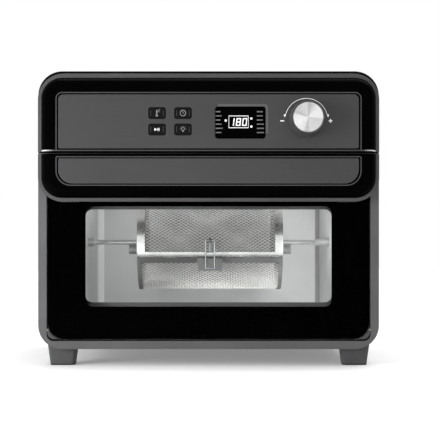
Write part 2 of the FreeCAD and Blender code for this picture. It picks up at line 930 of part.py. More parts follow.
def probe_radius():
    return 2 * sheet


def probe_place():
    return -cavity_half_width + flange_width, y_cavity_back - flange_width


def temperature_probe():
    x, y = probe_place()
    stem = rod_z(probe_radius(), cavity_ceiling - lip_width, ceiling_top, x, y)
    collar = rod_z(2 * probe_radius(), ceiling_top, ceiling_top + lip_width / 2, x, y)
    return join([stem, collar])


def coil_feet():
    """The two upright ends of the heater."""
    z0 = ceiling_top + coil_rise
    feet_pair = []
    for radius in (coil_radius, coil_inner_radius):
        feet_pair.append(rod_z(coil_tube, z0, dome_top + 2 * coil_tube, radius, fan_y))
    return feet_pair


def heater_coil():
    """Tube that runs round once, steps inwards and runs back inside itself."""
    z = ceiling_top + coil_rise
    centre = V(0, fan_y, z)
    step = rod_x(coil_tube, coil_inner_radius, coil_radius, fan_y, z)
    step.rotate(centre, V(0, 0, 1), coil_turn)
    pieces = [step]
    for radius in (coil_radius, coil_inner_radius):
        pieces.append(Part.makeTorus(radius, coil_tube, centre, V(0, 0, 1), -180, 180, coil_turn))
        knee = Part.makeSphere(coil_tube, V(radius, fan_y, z))
        bend = knee.copy()
        bend.rotate(centre, V(0, 0, 1), coil_turn)
        pieces += [knee, bend]
    return join(pieces + coil_feet())


def heater_dome():
    """Pan above the ceiling that holds the heater and the fan."""
    cup = rod_z(dome_radius, ceiling_top, dome_top, 0.0, fan_y)
    cup = cup.makeFillet(lip_width, top_edges(cup, dome_top))
    inner = rod_z(dome_radius - sheet, ceiling_top, dome_top - sheet, 0.0, fan_y)
    inner = inner.makeFillet(lip_width - sheet, top_edges(inner, dome_top - sheet))
    flange = rod_z(dome_radius + dome_flange, ceiling_top, ceiling_top + sheet, 0.0, fan_y)
    shaft_hole = rod_z(fan_shaft_radius + sheet, ceiling_top, dome_top, 0.0, fan_y)
    return join([cup, flange]).cut([inner, shaft_hole] + coil_feet())


def fan_guard():
    """Slotted plate under the fan opening."""
    guard_bottom = cavity_ceiling - guard_thickness
    plate = rod_z(fan_opening_radius + dome_flange, guard_bottom, cavity_ceiling, 0.0, fan_y)
    slots = []
    for index in range(guard_slots):
        for r0, r1 in guard_rings:
            y0 = fan_y - guard_slot_width / 2
            slot = block(r0, r1, y0, y0 + guard_slot_width, guard_bottom, cavity_ceiling)
            slot.rotate(V(0, fan_y, 0), V(0, 0, 1), 360.0 * index / guard_slots)
            slots.append(slot)
    return plate.cut(slots)


def bladed_wheel(radius, z0, height, blades, disc_on_top):
    """Fan wheel: hub, disc and straight blades."""
    hub = rod_z(fan_hub_radius, z0 - blade_thickness, z0 + height + blade_thickness, 0.0, fan_y)
    disc_z = z0 + height if disc_on_top else z0 - blade_thickness
    pieces = [hub, rod_z(radius, disc_z, disc_z + blade_thickness, 0.0, fan_y)]
    for index in range(blades):
        y0 = fan_y - blade_thickness / 2
        tip = radius - blade_thickness
        blade = block(fan_hub_radius / 2, tip, y0, y0 + blade_thickness, z0, z0 + height)
        blade.rotate(V(0, fan_y, 0), V(0, 0, 1), 360.0 * index / blades)
        pieces.append(blade)
    bore = rod_z(fan_shaft_radius, z0 - 2 * height, z0 + 2 * height, 0.0, fan_y)
    return join(pieces).cut(bore)


def convection_fan():
    return bladed_wheel(fan_radius, ceiling_top + coil_rise, fan_height, fan_blades, True)


def cooling_fan():
    return bladed_wheel(cooling_fan_radius, dome_top + 2 * coil_tube, cooling_fan_height, fan_blades, False)


def motor_base():
    return dome_top + motor_gap


def fan_shaft():
    z0 = ceiling_top + coil_rise - blade_thickness
    return rod_z(fan_shaft_radius, z0, motor_base() + motor_height / 2, 0.0, fan_y)


def fan_motor():
    z0 = motor_base() + sheet
    body = rod_z(motor_radius, z0, z0 + motor_height, 0.0, fan_y)
    body = body.makeFillet(2 * small_corner, top_edges(body, z0 + motor_height))
    bore_top = motor_base() + motor_height / 2 + sheet
    return body.cut(rod_z(fan_shaft_radius + shaft_fit, z0, bore_top, 0.0, fan_y))


def motor_bracket():
    """Bridge over the cooling fan that carries the motor."""
    z0 = motor_base()
    half = cooling_fan_radius + lip_width
    plate = block(-half, half, fan_y - motor_radius, fan_y + motor_radius, z0, z0 + sheet)
    plate = plate.cut(rod_z(2 * fan_shaft_radius, z0, z0 + sheet, 0.0, fan_y))
    legs = []
    for side in (-1, 1):
        x0, x1 = sorted((side * half, side * (half - sheet)))
        legs.append(block(x0, x1, fan_y - motor_radius, fan_y + motor_radius, dome_top, z0))
    return join([plate] + legs)


def lamp_lens():
    """Glass cover of the oven lamp, set in the right wall."""
    x = cavity_half_width
    cover = rod_x(lamp_radius, x - 2 * sheet, x, lamp_y, lamp_z)
    neck = rod_x(lamp_radius - sheet, x, x + sheet, lamp_y, lamp_z)
    return join([cover, neck])


def oven_lamp():
    """Lamp holder behind the wall, with a short bulb."""
    x = cavity_half_width + sheet
    holder = rod_x(lamp_radius, x, x + flange_width / 2, lamp_y, lamp_z)
    room = rod_x(lamp_radius - sheet, x, x + flange_width / 2 - sheet, lamp_y, lamp_z)
    bulb = rod_x(lamp_radius / 2, x + 2 * sheet, x + flange_width / 2, lamp_y, lamp_z)
    return join([holder.cut(room), bulb])


def door_switch():
    """Sealed switch behind the cavity flange that senses the closed door."""
    x0 = cavity_half_width + flange_width / 3
    y0 = y_flange + sheet
    z0 = cavity_ceiling - flange_width
    return block(x0, x0 + lip_width, y0, y0 + lip_width, z0 - lip_width, z0 + lip_width)


def power_board():
    """Board with the supply parts, on four posts above the ceiling."""
    x0 = dome_radius + 2 * dome_flange
    x1 = body_half - body_corner
    y0 = fan_y - dome_radius / 2
    y1 = fan_y + dome_radius
    z = ceiling_top + lip_width
    board = block(x0, x1, y0, y1, z, z + board_thickness)
    inset = 2 * shaft_radius
    corners = [(x, y) for x in (x0 + inset, x1 - inset) for y in (y0 + inset, y1 - inset)]
    posts = [rod_z(shaft_radius, ceiling_top, z, x, y) for x, y in corners]
    top = z + board_thickness
    choke = block(x0 + inset, x1 - inset, y0 + 2 * inset, y0 + flange_width, top, top + flange_width / 2)
    relay = block(x0 + inset, x1 - inset, y1 - flange_width, y1 - 2 * inset, top, top + lip_width)
    return join([board, choke, relay] + posts)


# Turning basket

def basket_tube(radius, x0, x1, thickness):
    bore = rod_x(radius - thickness, x0, x1, basket_y, basket_z)
    return rod_x(radius, x0, x1, basket_y, basket_z).cut(bore)


def basket_left():
    return basket_x - basket_half_length


def basket_right():
    return basket_x + basket_half_length


def half_space(upper):
    """Large block that keeps the lid's or the trough's side of the split plane."""
    reach = 2 * basket_radius
    z0 = split_z + split_clearance if upper else split_z - reach
    z1 = split_z + 2 * reach if upper else split_z - split_clearance
    return block(
        basket_left() - reach, basket_right() + reach, basket_y - reach, basket_y + reach, z0, z1,
    )


def mesh_holes(first_angle, last_angle):
    """Staggered diamond holes, cut radially. Angles run from the front over the top to the back."""
    rows = int((last_angle - first_angle) / mesh_step_angle) + 1
    margin = lid_band_width + mesh_hole_length / 2
    columns = int((2 * (basket_half_length - margin)) / mesh_pitch) + 1
    holes = []
    for row in range(rows):
        angle = first_angle + row * mesh_step_angle
        count = columns - row % 2
        for column in range(count):
            x = basket_x + (column - (count - 1) / 2) * mesh_pitch
            holes.append(diamond_hole(x, angle))
    return holes


def diamond_hole(x, angle):
    half_length = mesh_hole_length / 2
    half_height = mesh_hole_height / 2
    y0 = -basket_radius - mesh_sheet
    corners = [V(-half_length, y0, 0), V(0, y0, half_height), V(half_length, y0, 0), V(0, y0, -half_height)]
    face = Part.Face(Part.makePolygon(corners + corners[:1]))
    hole = face.extrude(V(0, 3 * mesh_sheet, 0))
    hole.rotate(V(0, 0, 0), V(1, 0, 0), -angle)
    hole.translate(V(x, basket_y, basket_z))
    return hole


def bar_angle(height):
    """Angle, seen along the shaft, of a point this far above the axis on the basket's surface."""
    return math.degrees(math.asin(height / basket_radius))


def basket_mesh(upper):
    shell = basket_tube(basket_radius, basket_left(), basket_right(), mesh_sheet).common(half_space(upper))
    if upper:
        low = bar_angle(lid_bar_height - split_drop + mesh_hole_height)
        return shell.cut(mesh_holes(low, 180.0 - low))
    low = bar_angle(split_drop + trough_bar_height + mesh_hole_height)
    return shell.cut(mesh_holes(180.0 + low, 360.0 - low))


def edge_bars(upper):
    """Straight strips along both edges of the split."""
    tube = basket_tube(band_radius, basket_left(), basket_right(), band_sheet)
    reach = 2 * basket_radius
    height = lid_bar_height if upper else trough_bar_height
    z0 = split_z if upper else split_z - height
    strip = block(basket_left(), basket_right(), basket_y - reach, basket_y + reach, z0, z0 + height)
    return tube.common(strip).common(half_space(upper))


def end_bands(upper):
    width = lid_band_width if upper else trough_band_width
    bands = []
    for x0 in (basket_left(), basket_right() - width):
        bands.append(basket_tube(band_radius, x0, x0 + width, band_sheet).common(half_space(upper)))
    return bands


def knuckles(upper):
    """Hinge eyes round the lid pin, those of the lid outside those of the trough."""
    pitch = knuckle_length + 2 * split_clearance
    eyes = []
    for side in (-1, 1):
        middle = basket_x + side * basket_half_length / 2
        offset = side * pitch / 2 if upper else -side * pitch / 2
        x0 = middle + offset - knuckle_length / 2
        z0 = split_z + split_clearance if upper else split_z - knuckle_radius
        z1 = split_z + knuckle_radius if upper else split_z - split_clearance
        web = block(x0, x0 + knuckle_length, basket_y, lid_axis_y, z0, z1)
        web = web.cut(rod_x(basket_radius, x0, x0 + knuckle_length, basket_y, basket_z))
        eye = rod_x(knuckle_radius, x0, x0 + knuckle_length, lid_axis_y, split_z)
        eyes.append(eye.fuse(web))
    return eyes


def lid_frame():
    """Sheet frame of the lid with hinge eyes and the latch's carrier."""
    frame = join([edge_bars(True)] + end_bands(True) + knuckles(True) + [latch_carrier()])
    latch_bore = rod_x(wire_radius + shaft_fit, basket_left(), basket_right(), latch_y, latch_z)
    return frame.cut([lid_pin_bore(shaft_fit), latch_bore])


def lid_pin_bore(fit):
    return rod_x(lid_pin_radius + fit, basket_left(), basket_right(), lid_axis_y, split_z)


def lid_hinge_pin():
    return lid_pin_bore(0.0)


def latch_carrier():
    """Narrow strap on the lid's front with the eye that the wire latch turns in."""
    x0 = basket_x - strap_width / 2
    x1 = basket_x + strap_width / 2
    eye = rod_x(knuckle_radius, x0, x1, latch_y, latch_z)
    web = block(x0, x1, latch_y, basket_y, latch_z - wire_radius, latch_z + wire_radius)
    stay = block(x0, x1, latch_y, basket_y, split_z + split_clearance, latch_z)
    sleeve = rod_x(band_radius, x0, x1, basket_y, basket_z)
    core = rod_x(basket_radius, x0, x1, basket_y, basket_z)
    return join([eye, web.cut(core), stay.common(sleeve).cut(core)])


def tab_bottom():
    return split_z - split_clearance - tab_drop


def latch_tab():
    """Tapered tab on the trough's front that the wire latch lies against."""
    half = tab_top_width / 2
    low_half = tab_low_width / 2
    top = split_z - split_clearance - tab_sheet
    y_face = latch_y + wire_radius + latch_clearance
    shelf = block(basket_x - half, basket_x + half, y_face, basket_y, top - tab_sheet, top)
    shelf = shelf.cut(rod_x(basket_radius, basket_x - half, basket_x + half, basket_y, basket_z))
    corners = [(-half, top), (half, top), (low_half, tab_bottom()), (-low_half, tab_bottom())]
    points = [V(basket_x + x, y_face, z) for x, z in corners]
    plate = Part.Face(Part.makePolygon(points + points[:1])).extrude(V(0, tab_sheet, 0))
    return join([shelf, plate])


def latch_wire():
    """Closed wire loop: turns in the lid's eye and hangs over the front of the tab."""
    left = basket_x - latch_width / 2
    right = basket_x + latch_width / 2
    low = tab_bottom() + 3 * wire_radius
    pieces = [rod_x(wire_radius, left, right, latch_y, z) for z in (low, latch_z)]
    pieces += [rod_z(wire_radius, low, latch_z, x, latch_y) for x in (left, right)]
    corners = [(x, z) for x in (left, right) for z in (low, latch_z)]
    pieces += [Part.makeSphere(wire_radius, V(x, latch_y, z)) for x, z in corners]
    return join(pieces)


def trough_rim():
    rim = join([edge_bars(False)] + end_bands(False) + knuckles(False) + [latch_tab()])
    return rim.cut(lid_pin_bore(0.0))


def swing_radius():
    """Largest radius round the shaft that the lid's front edge leaves free as it swings open."""
    hinge_reach = lid_axis_y - basket_y
    front_reach = math.sqrt((basket_radius - mesh_sheet) ** 2 - split_drop ** 2)
    return hinge_reach + front_reach - math.hypot(hinge_reach, split_drop)


def basket_ends():
    """Two discs that close the trough, smaller above the split, each with the knob that clamps the shaft."""
    ends = []
    for x0, knob in ((basket_left(), -clamp_length), (basket_right() - band_sheet, band_sheet)):
        x1 = x0 + band_sheet
        lower = rod_x(basket_radius - mesh_sheet, x0, x1, basket_y, basket_z).common(half_space(False))
        upper = rod_x(swing_radius() - end_clearance, x0, x1, basket_y, basket_z)
        clamp = rod_x(clamp_radius, x0 + knob, x0 + knob + clamp_length, basket_y, basket_z - clamp_drop)
        ends.append(join([lower, upper, clamp]).cut(rod_x(spit_radius, x0, x1, basket_y, basket_z)))
    return Part.makeCompound(ends)


def socket_start():
    return cavity_half_width - socket_length


def cup_end():
    return -cavity_half_width + cup_length


def basket_shafts():
    """Shaft ends on both sides of the basket."""
    left = rod_x(spit_radius, -cavity_half_width + mesh_sheet, basket_left() + band_sheet, basket_y, basket_z)
    tip = socket_start() + socket_length / 2
    right = rod_x(spit_radius, basket_right() - band_sheet, tip, basket_y, basket_z)
    return Part.makeCompound([left, right])


def drive_socket():
    """Driven sleeve on the gear motor's shaft that carries the basket's right end."""
    wall = cavity_half_width
    sleeve = rod_x(socket_radius, socket_start(), wall - sheet, basket_y, basket_z)
    axle = rod_x(spit_radius, wall - sheet, wall + sheet + gear_motor_depth / 2, basket_y, basket_z)
    bore = rod_x(spit_radius, socket_start(), socket_start() + socket_length / 2, basket_y, basket_z)
    return join([sleeve, axle]).cut(bore)


def gear_motor():
    x0 = cavity_half_width + sheet
    half_width = gear_motor_width / 2
    half_height = gear_motor_height / 2
    case = block(
        x0, x0 + gear_motor_depth, basket_y - half_width, basket_y + half_width, basket_z - half_height,
        basket_z + half_height,
    )
    upright = [e for e in case.Edges if abs(e.tangentAt(e.FirstParameter).x) > 0.9]
    case = case.makeFillet(2 * small_corner, upright)
    bore_end = x0 + gear_motor_depth / 2 + sheet
    return case.cut(rod_x(spit_radius + shaft_fit, x0, bore_end, basket_y, basket_z))


def bearing_cup():
    """Bearing on the left wall for the basket's other end."""
    x0 = -cavity_half_width
    cup = rod_x(cup_radius, x0, cup_end(), basket_y, basket_z)
    return cup.cut(rod_x(spit_radius + shaft_fit, x0, cup_end(), basket_y, basket_z))


button_names = ("button_start", "button_light", "button_temperature", "button_time")

nodes = {
    "casing_wrap": casing_wrap(),
    "base_plate": base_plate(),
    "rear_panel": rear_panel(),
    "rear_spacers": rear_spacers(),
    "cord_gland": cord_gland(),
    "casing_screws": casing_screws(),
    "feet": feet(),
    "front_frame": front_frame(),
    "hinge_bushes": hinge_bushes(),
    "head_housing": head_housing(),
    "head_rim": head_rim(),
    "head_fascia": head_fascia(),
    "panel_trim": panel_trim(),
    "control_panel": control_panel(),
    "display_window": display_window(),
    "control_board": control_board(),
    "rotary_encoder": rotary_encoder(),
    "knob_skirt": knob_skirt(),
    "knob_cap": knob_cap(),
    "encoder_shaft": encoder_shaft(),
    "outer_glass": outer_glass(),
    "window_mask": window_mask(),
    "door_frame": door_frame(),
    "inner_glass": inner_glass(),
    "inner_panel": inner_panel(),
    "door_seal": door_seal(),
    "hinge_pins": hinge_pins(),
    "handle_shell": handle_shell(),
    "handle_fascia": handle_fascia(),
    "handle_trim": handle_trim(),
    "handle_panel": handle_panel(),
    "cavity_liner": cavity_liner(),
    "temperature_probe": temperature_probe(),
    "heater_coil": heater_coil(),
    "heater_dome": heater_dome(),
    "fan_guard": fan_guard(),
    "convection_fan": convection_fan(),
    "cooling_fan": cooling_fan(),
    "fan_shaft": fan_shaft(),
    "fan_motor": fan_motor(),
    "motor_bracket": motor_bracket(),
    "oven_lamp": oven_lamp(),
    "lamp_lens": lamp_lens(),
    "door_switch": door_switch(),
    "power_board": power_board(),
    "basket_trough": basket_mesh(False),
    "trough_rim": trough_rim(),
    "basket_ends": basket_ends(),
    "basket_shafts": basket_shafts(),
    "drive_socket": drive_socket(),
    "gear_motor": gear_motor(),
    "bearing_cup": bearing_cup(),
    "lid_mesh": basket_mesh(True),
    "lid_frame": lid_frame(),
    "lid_hinge_pin": lid_hinge_pin(),
    "latch_wire": latch_wire(),
}
for name, place in zip(button_names, button_places()):
    nodes[name] = button(*place)

os.makedirs("parts", exist_ok=True)
for name, shape in nodes.items():
    shape.exportStep(f"parts/{name}.step")
    print(name, len(shape.Solids), round(shape.Volume, 1), shape.isValid())
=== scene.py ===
import math

import bpy
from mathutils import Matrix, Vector

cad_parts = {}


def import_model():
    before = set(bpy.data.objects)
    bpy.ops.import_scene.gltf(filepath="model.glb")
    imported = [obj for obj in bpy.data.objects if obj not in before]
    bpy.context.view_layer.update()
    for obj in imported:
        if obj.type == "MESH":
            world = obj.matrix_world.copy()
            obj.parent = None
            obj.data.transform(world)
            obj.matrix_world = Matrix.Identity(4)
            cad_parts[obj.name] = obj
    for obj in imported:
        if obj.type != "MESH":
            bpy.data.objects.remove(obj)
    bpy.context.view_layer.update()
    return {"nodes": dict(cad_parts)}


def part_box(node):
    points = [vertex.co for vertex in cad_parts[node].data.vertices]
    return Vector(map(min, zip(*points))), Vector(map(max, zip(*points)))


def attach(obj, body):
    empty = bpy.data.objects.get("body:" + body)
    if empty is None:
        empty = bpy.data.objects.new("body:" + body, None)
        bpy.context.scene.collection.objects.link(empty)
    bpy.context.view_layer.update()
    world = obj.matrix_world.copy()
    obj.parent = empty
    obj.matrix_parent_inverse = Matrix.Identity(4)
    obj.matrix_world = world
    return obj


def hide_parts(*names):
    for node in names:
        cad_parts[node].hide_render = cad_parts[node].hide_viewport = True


# Looks of the oven-type air fryer. The frame is in metres: front faces -Y, +Z is up, feet on Z = 0.

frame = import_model()
nodes = frame["nodes"]
mm = 0.001

# The imported plain materials give way to the ones made here
for plain in list(bpy.data.materials):
    bpy.data.materials.remove(plain)

# Colours, as linear values
white = (0.86, 0.86, 0.86)
print_grey = (0.24, 0.24, 0.24)
casing_grey = (0.105, 0.105, 0.108)
door_grey = (0.062, 0.062, 0.064)
rim_grey = (0.068, 0.068, 0.070)
panel_grey = (0.058, 0.058, 0.060)
bevel_highlight_grey = (0.095, 0.095, 0.098)
trim_grey = (0.06, 0.06, 0.062)
# Painted highlight at the ends of the trim lines
trim_painted_highlight = (0.95, 0.95, 0.96)
foot_grey = (0.080, 0.080, 0.083)
gloss_black = (0.0007, 0.0007, 0.0008)
plain_black = (0.002, 0.002, 0.0022)
button_black = (0.006, 0.006, 0.0064)
knob_grey = (0.052, 0.052, 0.053)
spun_metal = (0.80, 0.80, 0.80)
liner_steel = (0.52, 0.52, 0.516)
basket_steel = (0.92, 0.91, 0.89)
strap_steel = (0.30, 0.30, 0.30)
end_steel = (0.34, 0.34, 0.33)
mesh_steel = (0.74, 0.73, 0.71)
# Painted shade on the basket lattice's faces that turn towards its axis
painted_inner_shade = (0.10, 0.095, 0.088)
rim_steel = (0.21, 0.21, 0.207)
bright_steel = (0.62, 0.62, 0.62)
dull_aluminium = (0.52, 0.52, 0.52)
door_enamel = (0.105, 0.105, 0.105)
rubber_black = (0.018, 0.018, 0.018)
heat_black = (0.045, 0.042, 0.040)
brass = (0.58, 0.43, 0.18)
board_green = (0.015, 0.10, 0.04)
ceramic = (0.70, 0.68, 0.63)
socket_steel = (0.30, 0.30, 0.296)
motor_grey = (0.22, 0.22, 0.225)
floor_colour = (0.93, 0.93, 0.93)
pane_tint = (0.96, 0.97, 0.97)

# Painted reflections on the spun cap, as bright and dark sectors: share of a turn, from the left by way of
# the bottom, and brightness there
cap_painted_reflections = (
    (0.0, 1.0), (0.08, 1.05), (0.18, 0.95), (0.228, 0.62), (0.28, 0.82), (0.39, 0.8),
    (0.467, 0.75), (0.5, 1.0), (0.62, 1.0), (0.69, 0.75), (0.736, 0.58), (0.78, 0.82),
    (0.89, 0.75), (0.94, 0.6), (0.978, 1.0), (1.0, 1.0),
)

# Rolled back corners of the cavity, with a painted reflection on the left and painted shade on the right:
# side, brightness, and the share of the roll that has it
corner_painted_light = ((-1, 1.45, 1.0), (1, 0.5, 0.62))


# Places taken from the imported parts

def middle(node):
    """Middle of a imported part's box."""
    low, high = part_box(node)
    return (low + high) / 2


panel_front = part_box("control_panel")[0].y
display_low, display_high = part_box("display_window")
liner_low, liner_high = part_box("cavity_liner")
lid_low, lid_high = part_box("lid_mesh")
trough_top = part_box("basket_trough")[1].z
latch_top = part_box("latch_wire")[1].z
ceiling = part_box("fan_guard")[0].z
display_middle = middle("display_window")
knob_middle = middle("knob_cap")
latch_middle = middle("latch_wire")
basket_axis = middle("basket_shafts")
liner_middle = middle("cavity_liner")
basket_radius = (lid_high.y - lid_low.y) / 2

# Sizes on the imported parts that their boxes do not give
cavity_half_width = 158.5 * mm
corner_roll = 8 * mm
strap_half_width = 4 * mm
strap_height = 16.5 * mm
sole_height = 1.6 * mm

# Distances from the middle over which the painted highlight at the ends of the trim lines fades in
trim_highlight_start = 178.5 * mm
trim_highlight_end = 193 * mm


# Node helpers

def add(tree, kind, **settings):
    node = tree.nodes.new(kind)
    for key, value in settings.items():
        setattr(node, key, value)
    return node


def opaque(colour, share=1.0):
    """The colour times a share, with full opacity."""
    return (*[c * share for c in colour], 1.0)


def opened(made):
    """Node tree and main shader of a material."""
    tree = made.node_tree
    return tree, tree.nodes["Principled BSDF"]


def start(name, colour, roughness, metallic=0.0, specular=0.5):
    """New material with plain values on its main shader."""
    made = bpy.data.materials.new(name)
    made.use_nodes = True
    tree, shader = opened(made)
    shader.inputs["Base Color"].default_value = opaque(colour)
    shader.inputs["Roughness"].default_value = roughness
    shader.inputs["Metallic"].default_value = metallic
    shader.inputs["Specular IOR Level"].default_value = specular
    return made, tree, shader


def place(tree, stretch=(1.0, 1.0, 1.0), origin=(0.0, 0.0, 0.0)):
    """Position on the object in metres from an origin, scaled along each axis."""
    coords = add(tree, "ShaderNodeTexCoord")
    shift = add(tree, "ShaderNodeVectorMath", operation="SUBTRACT")
    shift.inputs[1].default_value = origin
    scaled = add(tree, "ShaderNodeVectorMath", operation="MULTIPLY")
    scaled.inputs[1].default_value = stretch
    tree.links.new(coords.outputs["Object"], shift.inputs[0])
    tree.links.new(shift.outputs[0], scaled.inputs[0])
    return scaled.outputs[0]


def facing(tree):
    """Direction that the surface faces."""
    return add(tree, "ShaderNodeTexCoord").outputs["Normal"]


def axes(tree, vector):
    """The X, Y and Z of a vector, by name."""
    parts = add(tree, "ShaderNodeSeparateXYZ")
    tree.links.new(vector, parts.inputs[0])
    return parts.outputs


def combine(tree, operation, *values):
    """Result of an operation on one or two values."""
    node = add(tree, "ShaderNodeMath", operation=operation)
    for value, socket in zip(values, node.inputs):
        tree.links.new(value, socket)
    return node.outputs[0]


def noise(tree, point, scale, detail=3.0):
    node = add(tree, "ShaderNodeTexNoise")
    node.inputs["Scale"].default_value = scale
    node.inputs["Detail"].default_value = detail
    tree.links.new(point, node.inputs["Vector"])
    return node.outputs["Fac"]


def spread(tree, value, low, high, start_at=0.3, end_at=0.7):
    """A value mapped to run from low to high."""
    node = add(tree, "ShaderNodeMapRange")
    node.inputs["From Min"].default_value = start_at
    node.inputs["From Max"].default_value = end_at
    node.inputs["To Min"].default_value = low
    node.inputs["To Max"].default_value = high
    tree.links.new(value, node.inputs["Value"])
    return node.outputs["Result"]


def rise(tree, value, start_at, end_at):
    """A factor that goes from 0 to 1 while a value goes from one place to another, up or down."""
    return spread(tree, value, 0.0, 1.0, start_at, end_at)


def tint(tree, shader, value, colour, darker, lighter, start_at=0.3, end_at=0.7):
    """Let the base colour run from darker to lighter by a value."""
    mix = add(tree, "ShaderNodeMix", data_type="RGBA")
    mix.inputs["A"].default_value = opaque(colour, darker)
    mix.inputs["B"].default_value = opaque(colour, lighter)
    tree.links.new(rise(tree, value, start_at, end_at), mix.inputs["Factor"])
    tree.links.new(mix.outputs["Result"], shader.inputs["Base Color"])


def overlay(tree, shader, factor, colour, share=1.0):
    """Lay a colour over the shader's own base colour, by a factor."""
    mix = add(tree, "ShaderNodeMix", data_type="RGBA")
    mix.inputs["B"].default_value = opaque(colour, share)
    tree.links.new(shader.inputs["Base Color"].links[0].from_socket, mix.inputs["A"])
    tree.links.new(factor, mix.inputs["Factor"])
    tree.links.new(mix.outputs["Result"], shader.inputs["Base Color"])


def polish(tree, shader, value, low, high, start_at=0.3, end_at=0.7):
    """Let the roughness run from low to high by a value."""
    tree.links.new(spread(tree, value, low, high, start_at, end_at), shader.inputs["Roughness"])


def bump(tree, shader, height, strength, distance):
    node = add(tree, "ShaderNodeBump")
    node.inputs["Strength"].default_value = strength
    node.inputs["Distance"].default_value = distance
    tree.links.new(height, node.inputs["Height"])
    tree.links.new(node.outputs["Normal"], shader.inputs["Normal"])


# Materials

def powder_coat(name, colour):
    """Satin paint with a fine orange peel."""
    made, tree, shader = start(name, colour, roughness=0.45, specular=0.35)
    point = place(tree)
    peel = noise(tree, point, scale=900.0, detail=2.0)
    tint(tree, shader, noise(tree, point, scale=30.0), colour, darker=0.97, lighter=1.03)
    polish(tree, shader, peel, low=0.38, high=0.52)
    bump(tree, shader, peel, strength=0.12, distance=0.15 * mm)
    return made


def moulded(name, colour, roughness=0.5, specular=0.3):
    """Plastic with the fine grain of an eroded mould."""
    made, tree, shader = start(name, colour, roughness, specular=specular)
    point = place(tree)
    grain = noise(tree, point, scale=2200.0, detail=2.0)
    tint(tree, shader, noise(tree, point, scale=22.0), colour, darker=0.92, lighter=1.07)
    polish(tree, shader, grain, low=roughness - 0.06, high=roughness + 0.06)
    bump(tree, shader, grain, strength=0.15, distance=0.1 * mm)
    return made


def gloss(name, colour):
    """Deep gloss with a faint waviness."""
    made, tree, shader = start(name, colour, roughness=0.08, specular=0.008)
    point = place(tree)
    wave = noise(tree, point, scale=14.0)
    tint(tree, shader, wave, colour, darker=0.8, lighter=1.2)
    polish(tree, shader, noise(tree, point, scale=120.0), low=0.05, high=0.12)
    bump(tree, shader, wave, strength=0.02, distance=0.4 * mm)
    return made


def brushed(name, colour, metallic=0.25):
    """Sheet brushed along X: long fine streaks."""
    made, tree, shader = start(name, colour, roughness=0.42, metallic=metallic, specular=0.25)
    streak = noise(tree, place(tree, stretch=(14.0, 2600.0, 2600.0)), scale=1.0, detail=4.0)
    cloud = noise(tree, place(tree, stretch=(5.0, 9.0, 9.0)), scale=1.0)
    both = combine(tree, "ADD", streak, cloud)
    tint(tree, shader, both, colour, darker=0.86, lighter=1.14, start_at=0.6, end_at=1.4)
    polish(tree, shader, streak, low=0.36, high=0.50)
    bump(tree, shader, streak, strength=0.06, distance=0.1 * mm)
    return made


def edge_metal(name, colour, highlight, underside_shade):
    """Brushed line with a painted highlight towards its two ends, and painted shade in another colour on its
    underside.
    """
    made = brushed(name, colour, metallic=0.3)
    tree, shader = opened(made)
    from_middle = combine(tree, "ABSOLUTE", axes(tree, place(tree))["X"])
    overlay(tree, shader, rise(tree, from_middle, trim_highlight_start, trim_highlight_end), highlight)
    upward = axes(tree, facing(tree))["Z"]
    overlay(tree, shader, rise(tree, upward, start_at=-0.6, end_at=-0.9), underside_shade)
    return made


def soled(name, colour, sole):
    """Grained plastic with a dark band along its bottom."""
    made = moulded(name, colour, roughness=0.55)
    tree, shader = opened(made)
    blur = 0.1 * mm
    height = axes(tree, place(tree))["Z"]
    overlay(tree, shader, rise(tree, height, sole_height + blur, sole_height - blur), sole)
    return made


def spun(name, colour, centre):
    """Turned metal face: rings about an axis along Y, and painted reflections in soft bright and dark
    sectors.
    """
    made, tree, shader = start(name, colour, roughness=0.3, metallic=0.85)
    point = place(tree, stretch=(1.0, 0.0, 1.0), origin=centre)
    parts = axes(tree, point)
    angle = combine(tree, "ARCTAN2", parts["Z"], parts["X"])
    ramp = add(tree, "ShaderNodeValToRGB")
    stops = ramp.color_ramp.elements
    while len(stops) < len(cap_painted_reflections):
        stops.new(0.5)
    # Painted reflections: a brightness for each sector of the turn
    for stop, (turn, brightness) in zip(stops, cap_painted_reflections):
        stop.position = turn
        stop.color = opaque(colour, brightness)
    tree.links.new(rise(tree, angle, -math.pi, math.pi), ramp.inputs["Fac"])
    tree.links.new(ramp.outputs["Color"], shader.inputs["Base Color"])
    radius = add(tree, "ShaderNodeVectorMath", operation="LENGTH")
    tree.links.new(point, radius.inputs[0])
    rings = add(tree, "ShaderNodeTexNoise", noise_dimensions="1D")
    rings.inputs["Scale"].default_value = 2600.0
    tree.links.new(radius.outputs["Value"], rings.inputs["W"])
    polish(tree, shader, rings.outputs["Fac"], low=0.24, high=0.40)
    bump(tree, shader, rings.outputs["Fac"], strength=0.12, distance=0.1 * mm)
    return made


def sheet_metal(name, colour, metallic=0.55):
    """Plain sheet with a soft spangle and faint smears."""
    made, tree, shader = start(name, colour, roughness=0.38, metallic=metallic)
    point = place(tree)
    cells = add(tree, "ShaderNodeTexVoronoi")
    cells.inputs["Scale"].default_value = 160.0
    tree.links.new(point, cells.inputs["Vector"])
    tint(tree, shader, noise(tree, point, scale=18.0), colour, darker=0.93, lighter=1.06)
    polish(tree, shader, cells.outputs["Distance"], low=0.33, high=0.44, start_at=0.0, end_at=0.8)
    bump(tree, shader, noise(tree, point, scale=700.0), strength=0.05, distance=0.1 * mm)
    return made


def folded_sheet(name, colour):
    """Sheet with painted light on its rolled back corners: a painted reflection on the left roll and painted
    shade on the right one.
    """
    made = sheet_metal(name, colour, metallic=0.25)
    tree, shader = opened(made)
    blur = 1 * mm
    parts = axes(tree, place(tree))
    roll_start = liner_high.y - corner_roll
    behind = rise(tree, parts["Y"], roll_start - blur, roll_start)
    # Painted reflection on the left roll, painted shade on the right roll
    for side, brightness, share in corner_painted_light:
        edge = side * (cavity_half_width - corner_roll * share)
        beside = rise(tree, parts["X"], edge - side * blur, edge)
        overlay(tree, shader, combine(tree, "MULTIPLY", behind, beside), colour, brightness)
    return made


